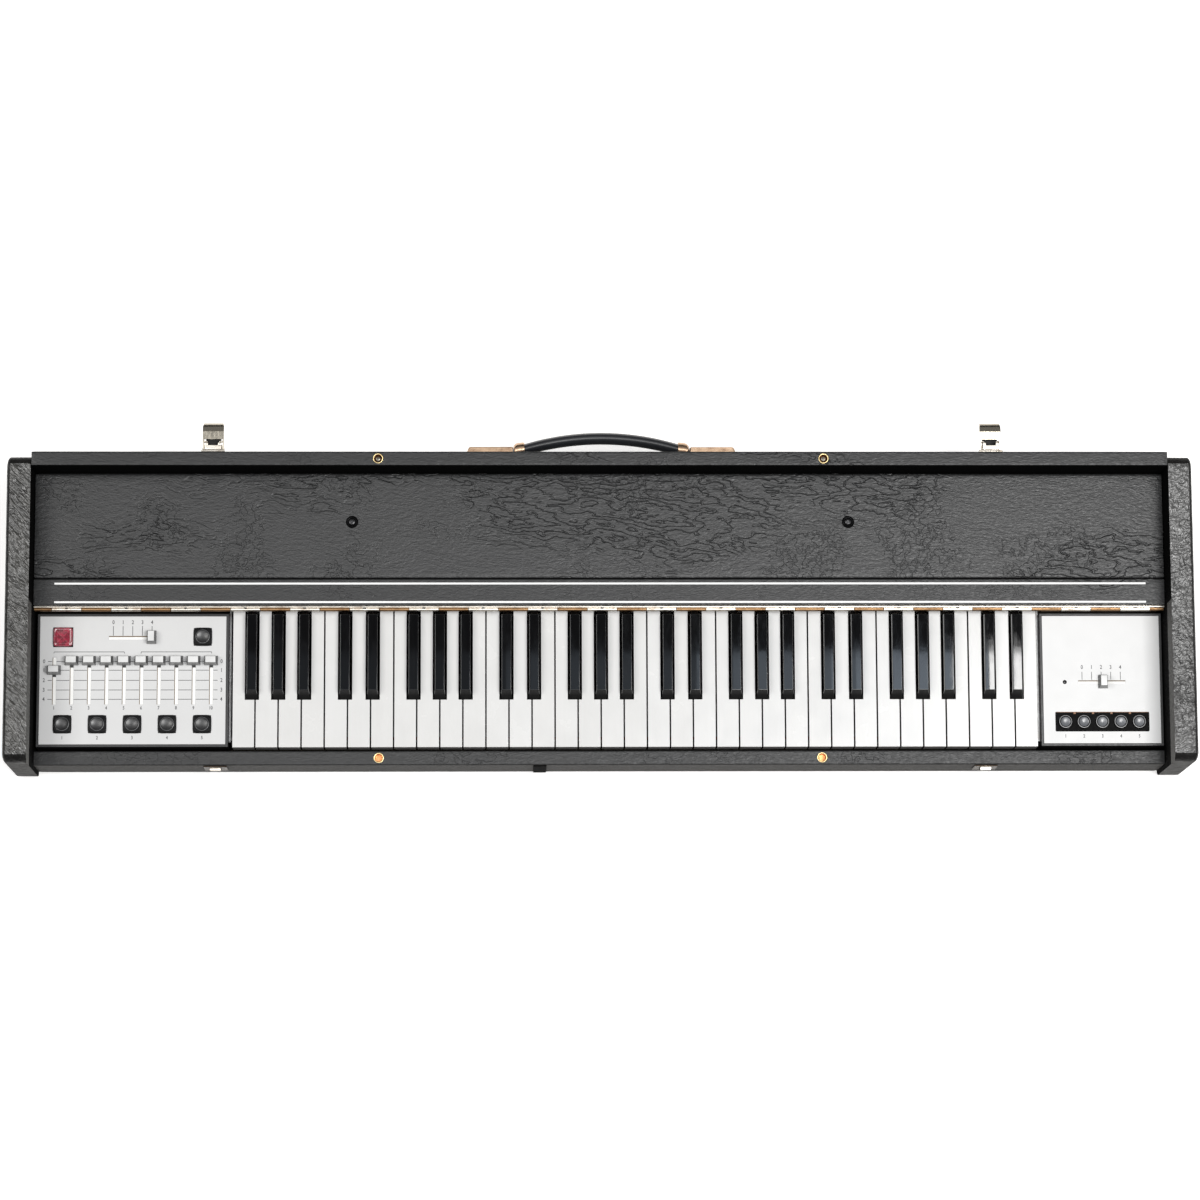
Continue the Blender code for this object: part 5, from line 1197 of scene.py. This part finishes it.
def panelPrint():
    s = scaleLook
    front = plateBox[0].y
    half = s["ink"] / 2
    bm = bmesh.new()
    for number, back in enumerate(s["rows"]):
        y = front + back
        cuts = [leftMiddle - s["half"]]
        for k in range(10):
            x = leftMiddle + (k - 4.5) * slots["pitch"]
            cuts += [x - 0.0022, x + 0.0022]
        cuts.append(leftMiddle + s["half"])
        for left, right in zip(cuts[0::2], cuts[1::2]):
            if right > left:
                addInk(bm, (left, right), (y - half, y + half))
        for side in (-1, 1):
            addDigit(bm, str(number), leftMiddle + side * s["digits"], y, s["size"])
    y = front + s["bracketBack"]
    for left, right in s["brackets"]:
        addInk(bm, (leftMiddle + left, leftMiddle + right), (y - half, y + half))
        for end in (left, right):
            addInk(bm, (leftMiddle + end - half, leftMiddle + end + half), (y - s["bracketDrop"], y - half))
    for middle, row in ((leftMiddle, s["sustain"]), (rightMiddle, s["volume"])):
        for k in range(s["ticks"]):
            x = middle + row["first"] + k * s["tickPitch"]
            addInk(bm, (x - half, x + half), (front + row["from"], front + row["to"]))
            addDigit(bm, str(k), x, front + row["digits"], s["size"])
    for k in range(10):
        addDigit(bm, str(k + 1), leftMiddle + (k - 4.5) * slots["pitch"], front + s["underSliders"], s["size"] * 0.85)
    for row, gap in ((buttonNodes, s["underButtons"]), (soloNodes, s["underSolo"])):
        for k, node in enumerate(row):
            addDigit(bm, str(k + 1), middleOf(node).x, front + gap, s["size"] * 0.85)
    dressed(fromMesher("panel_print", bm), "case", ["grey"])


soloBezel = {"aside": 0.0103, "along": 0.0101, "high": 0.0005, "low": 0.0009, "hole": 0.0075, "line": 0.0005}


def soloFrame():  # a black surround for the bank of five, with amber marks along its far edge
    s = soloBezel
    middles = [middleOf(node) for node in soloNodes]
    near = (middles[0].x - s["aside"], middles[0].y - s["along"])
    far = (middles[-1].x + s["aside"], middles[0].y + s["along"])
    bm = bmesh.new()
    addBox(bm, (*near, plateTop - s["low"]), (*far, plateTop + s["high"]))
    upright = [e for e in bm.edges if abs(e.verts[0].co.z - e.verts[1].co.z) > 0.0005]
    bmesh.ops.bevel(bm, geom=upright, offset=0.0012, segments=4, affect="EDGES", profile=0.5)
    holes = bmesh.new()
    for middle in middles:
        addStack(holes, (middle.x, middle.y, plateTop), [("round", s["hole"], -0.002), ("round", s["hole"], 0.002)], 48)
    surround = cutWith(fromMesher("solo_surround", bm), holes)
    dressed(surround, "case", ["surround"])
    bm = bmesh.new()
    high = plateTop + s["high"]
    addBox(bm, (near[0] + 0.001, far[1] - s["line"], high - 0.0001), (far[0] - 0.001, far[1], high + 0.00005))
    for left, right in zip(middles, middles[1:]):
        x = (left.x + right.x) / 2
        addBox(bm, (x - 0.0011, far[1] - 0.0022, high - 0.0001), (x + 0.0011, far[1] - s["line"], high + 0.00005))
    dressed(fromMesher("solo_marks", bm), "case", ["amber"])


def trimmer():
    bm = bmesh.new()
    x = rightMiddle - 0.0377
    y = rightPlateBox[0].y + 0.0631
    # a near-black ring round the screw: painted shade of the hole
    addRing(bm, (x, y, plateTop), [
        ("round", 0.0021, -0.0002), ("round", 0.0021, 0.00005), ("round", 0.0015, 0.00005), ("round", 0.0015, -0.0002),
    ], 32)
    dressed(fromMesher("trimmer_rim", bm), "case", ["inside"])
    bm = bmesh.new()
    addStack(bm, (x, y, plateTop - 0.0022), [
        ("round", 0.0014, -0.0005), ("round", 0.0015, -0.0005), ("round", 0.0015, 0.0003), ("round", 0.0013, 0.0005),
        ("round", 0.0005, 0.0005),
    ], 20)
    dressed(smoothed(fromMesher("trimmer_screw", bm), 50), "case", ["blackSteel"])


panelPlates()
knobs()
dustLips()
buttons()
panelPrint()
soloFrame()
trimmer()
print("panels: plates, knobs, buttons and print")


# lid latches

latchLook = {"web": (0.0010, 0.0110), "webHalf": 0.0077, "webLow": 0.0032, "webHigh": 0.0026, "barHalf": 0.0081,
             "barDeep": 0.0021, "barThick": 0.0011, "arm": 0.0031}


def latchClaw(side):  # the loop's front: a broad pressed bar with a short arm at each end
    k = latchLook
    low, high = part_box(side + "_latch_loop")
    x = (low.x + high.x) / 2
    y = low.y + 0.0011
    z = high.z - 0.0011
    bm = bmesh.new()
    addBox(bm, (x - k["barHalf"], y - k["barDeep"], z - k["barThick"]), (x + k["barHalf"], y + k["barDeep"], z + k["barThick"]))
    for turn in (-1, 1):
        across = sorted((x + turn * k["barHalf"], x + turn * (k["barHalf"] - k["arm"])))
        addBox(bm, (across[0], y + k["barDeep"] - 0.0004, z - 0.0024), (across[1], y + 0.0050, z + k["barThick"] - 0.0012))
    bmesh.ops.bevel(bm, geom=bm.edges[:], offset=0.0005, segments=2, affect="EDGES", profile=0.5)
    dressed(smoothed(fromMesher(side + "_loop_claw", bm), 40), side + "_loop", ["hingeNickel"])


catchBar = {"half": 0.0054, "y": (0.0001, 0.0030), "z": (0.0532, 0.0548)}


def latches():
    for side in ("left", "right"):
        low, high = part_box(f"{side}_latch_lever")
        rolled = lambda edge: all(v.co.y > high.y - 0.0105 and v.co.z > low.z + 0.001 for v in edge.verts)
        top = lambda edge: rolled(edge) and edge.calc_length() > 0.015 and min(v.co.z for v in edge.verts) > high.z - 0.002
        corner = lambda edge: rolled(edge) and edge.calc_length() > 0.003 and all(
            v.co.y > high.y - 0.0036 and min(v.co.x - low.x, high.x - v.co.x) < 0.0001 for v in edge.verts)
        lever = softened(f"{side}_latch_lever_nickel", f"{side}_latch_lever", 0.0005, rolls=((corner, 0.0024), (top, 0.0026)))
        dressed(lever, f"{side}_lever", ["latchSteel"], [f"{side}_latch_lever"])
        plate = softened(f"{side}_latch_plate_nickel", f"{side}_latch_plate", 0.0003)
        dressed(plate, "case", ["nickel"], [f"{side}_latch_plate"])
        grip = softened(f"{side}_catch_hook", f"{side}_catch", 0.0003)
        dressed(grip, "case", ["catchPlate"], [f"{side}_catch"])
        low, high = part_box(f"{side}_catch")
        x = (low.x + high.x) / 2
        bm = bmesh.new()
        addBox(bm, (x - catchBar["half"], low.y + catchBar["y"][0], catchBar["z"][0]),
               (x + catchBar["half"], low.y + catchBar["y"][1], catchBar["z"][1]))
        bmesh.ops.bevel(bm, geom=bm.edges[:], offset=0.0004, segments=2, affect="EDGES", profile=0.5)
        dressed(smoothed(fromMesher(side + "_catch_bar", bm), 40), "case", ["hingeNickel"])
        loop = softened(f"{side}_latch_loop_wire", f"{side}_latch_loop", 0.0001, lambda edge: False)
        dressed(loop, f"{side}_loop", ["nickel"], [f"{side}_latch_loop"])
        latchClaw(side)
        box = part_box(f"{side}_latch_loop")
        x = (box[0].x + box[1].x) / 2
        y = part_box(f"{side}_latch_lever")[0].y + 0.0026
        z = box[0].z + 0.0011 - 0.001
        bm = bmesh.new()
        addBox(bm, (x - latchLook["webHalf"], y + latchLook["web"][0], z - latchLook["webLow"]),
               (x + latchLook["webHalf"], y + latchLook["web"][1], z - latchLook["webHigh"]))
        dressed(fromMesher(side + "_latch_web", bm), f"{side}_lever", ["pad"])


latches()
print("latches")


# carrying handle

handleLook = {"reach": 0.0905, "bow": 0.0152, "halfThick": 0.0060, "halfHigh": 0.0085, "ferrule": 0.0112}
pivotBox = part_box("left_handle_bracket")
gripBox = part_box("handle_grip")
handleX = (gripBox[0].x + gripBox[1].x) / 2
handleZ = (gripBox[0].z + gripBox[1].z) / 2
handleY = gripBox[1].y - handleLook["bow"] - handleLook["halfThick"]


def gripPlace(x):
    return handleY + handleLook["bow"] * (1 - (x / handleLook["reach"]) ** 2)


def oval(x, y, halfY, halfZ, sides=28):
    row = []
    for k in range(sides):
        angle = 2 * math.pi * k / sides
        row.append((handleX + x, y + halfY * math.cos(angle), handleZ + halfZ * math.sin(angle)))
    return row


def handle():
    h = handleLook
    end = h["reach"] - h["ferrule"] * 0.55
    rows = []
    for k in range(57):
        x = end * (2 * k / 56 - 1)
        pinch = 1 - 0.06 * (abs(x) / end) ** 6
        rows.append(oval(x, gripPlace(x), h["halfThick"] * pinch, h["halfHigh"] * pinch))
    bm = bmesh.new()
    addRows(bm, rows)
    bmesh.ops.recalc_face_normals(bm, faces=bm.faces)
    grip = smoothed(fromMesher("handle_grip_vinyl", bm), 60)
    dressed(grip, "handle", ["grip"], ["handle_grip"])
    bm = bmesh.new()
    far = h["reach"] - 0.0003
    near = far - h["ferrule"]
    for side in (-1, 1):
        rows = []
        for x, grow, lean in ((near, 0.0008, 0.0), (near + 0.0004, 0.0016, 0.0), (near + 0.0014, 0.0018, 0.0001),
                              (near + 0.0060, 0.0018, 0.0006), (far - 0.0026, 0.0016, 0.0012),
                              (far - 0.0012, 0.0008, 0.0015), (far, -0.0012, 0.0015)):
            rows.append(oval(side * x, gripPlace(near) - lean, h["halfThick"] + grow, h["halfHigh"] + min(grow, 0.0005)))
        rows = rows if side > 0 else rows[::-1]
        addRows(bm, rows)
        pin = [[(handleX + side * x, handleY + 0.002 * math.cos(math.pi * k / 8), handleZ + 0.002 * math.sin(math.pi * k / 8))
                for k in range(16)] for x in (far - 0.002, far + 0.0057)]
        addRows(bm, pin if side > 0 else pin[::-1])
    bmesh.ops.recalc_face_normals(bm, faces=bm.faces)
    dressed(smoothed(fromMesher("handle_ferrules", bm), 50), "handle", ["brass"])
    for side in ("left", "right"):
        node = side + "_handle_bracket"
        bracket = softened(node + "_brass", node, 0.0009)
        dressed(bracket, "case", ["brass"], [node])


handle()
print("handle")


# inside and back

def insideParts():
    board = softened("main_board_chips", "main_board", 0.0002)
    dressed(board, "case", ["board", "chip"], ["main_board"])
    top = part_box("main_board")[0].z + 0.0018
    painted(board, 1, lambda centre, normal: centre.z > top)
    core = softened("mains_transformer_core", "mains_transformer", 0.0005)
    dressed(core, "case", ["iron"], ["mains_transformer"])
    panel = softened("socket_panel_plate", "socket_panel", 0.0003)
    dressed(panel, "case", ["frame"], ["socket_panel"])


insideParts()
print("inside and back")


# floor, light and camera

studio = {
    "floor": 14.0, "floorColour": (0.950, 0.935, 0.915), "floorGlow": 0.45, "skyTint": (0.985, 0.992, 1.0),
    "sky": ((0.0, 0.03), (0.55, 0.06), (0.80, 0.34), (0.90, 0.34), (0.965, 0.08), (1.0, 0.04)),  # how high, how bright
    "boxes": (  # all hang level at one height: what each spans across and along, and how bright it is
        {"name": "rightBox", "x": (0.73, 1.54), "y": (-1.00, 0.40), "bright": 15.0, "colour": (1.0, 0.995, 0.985)},
        {"name": "middleBox", "x": (0.22, 0.72), "y": (-1.10, 0.02), "bright": 10.5, "colour": (1.0, 0.995, 0.985)},
        {"name": "frontBox", "x": (-1.30, 0.72), "y": (-1.40, 0.10), "bright": 2.1, "colour": (0.98, 0.99, 1.0)},
        {"name": "backBox", "x": (-1.35, 0.72), "y": (0.54, 1.10), "bright": 0.9, "colour": (1.0, 1.0, 1.0)},
        {"name": "leftBox", "x": (-2.90, -1.40), "y": (-0.60, 0.90), "bright": 6.6, "colour": (1.0, 0.99, 0.97)},
        {"name": "halo1", "x": (-0.60, -0.10), "y": (0.10, 0.40), "bright": 0.18, "colour": (0.74, 0.86, 1.0)},
        {"name": "halo2", "x": (-0.10, 0.25), "y": (0.10, 0.40), "bright": 0.5, "colour": (0.74, 0.86, 1.0)},
        {"name": "halo3", "x": (0.25, 0.50), "y": (0.10, 0.40), "bright": 1.4, "colour": (0.74, 0.86, 1.0)},
        {"name": "halo4", "x": (0.50, 0.72), "y": (0.10, 0.40), "bright": 2.5, "colour": (0.74, 0.86, 1.0)},
    ),
    "height": 3.1,
}
cameraLook = {
    "place": (-0.09965, -0.7193609, 4.4844349), "turn": (0.16137326, -0.02185939, -0.00400571),
    "lens": 131.198, "sensor": 36.0,
}


def floorPaper():
    f = Finish("floorPaper")
    tone = f.noise(3.0, 2.0)
    colour = f.blend(tone * 0.2, studio["floorColour"], tuple(c * 0.97 for c in studio["floorColour"]))
    return f.shade(colour, 0.8, extra={"Emission Color": (1.0, 1.0, 1.0, 1.0), "Emission Strength": studio["floorGlow"]})


def stageSet():
    bm = bmesh.new()
    bmesh.ops.create_grid(bm, x_segments=2, y_segments=2, size=studio["floor"])
    floor = fromMesher("floor", bm)
    floor.data.materials.append(floorPaper())
    scene.world = bpy.data.worlds.new("studio")
    scene.world.use_nodes = True
    sky = Graph(scene.world.node_tree)
    sky.tree.nodes.clear()
    height = sky.axis(sky.add("ShaderNodeTexCoord", out="Generated"), "Z")
    stops = [(where, tuple(c * bright for c in studio["skyTint"])) for where, bright in studio["sky"]]
    glow = sky.add("ShaderNodeValToRGB", {"stops": stops}, {"Fac": height})
    background = sky.add("ShaderNodeBackground", None, {"Color": glow, "Strength": 1.0})
    sky.add("ShaderNodeOutputWorld", None, {"Surface": background})
    for box in studio["boxes"]:
        light = bpy.data.lights.new(box["name"], "AREA")
        light.shape = "RECTANGLE"
        light.size = box["x"][1] - box["x"][0]
        light.size_y = box["y"][1] - box["y"][0]
        light.energy = math.pi * light.size * light.size_y * box["bright"]
        light.color = box["colour"]
        addObject(box["name"], light).location = (sum(box["x"]) / 2, sum(box["y"]) / 2, studio["height"])
    lens = bpy.data.cameras.new("camera")
    lens.lens = cameraLook["lens"]
    lens.sensor_width = cameraLook["sensor"]
    lens.clip_end = 60.0
    camera = addObject("camera", lens)
    camera.location = cameraLook["place"]
    camera.rotation_euler = Euler(cameraLook["turn"], "XYZ")
    scene.camera = camera
    scene.view_settings.view_transform = "Standard"


stageSet()
print("studio")
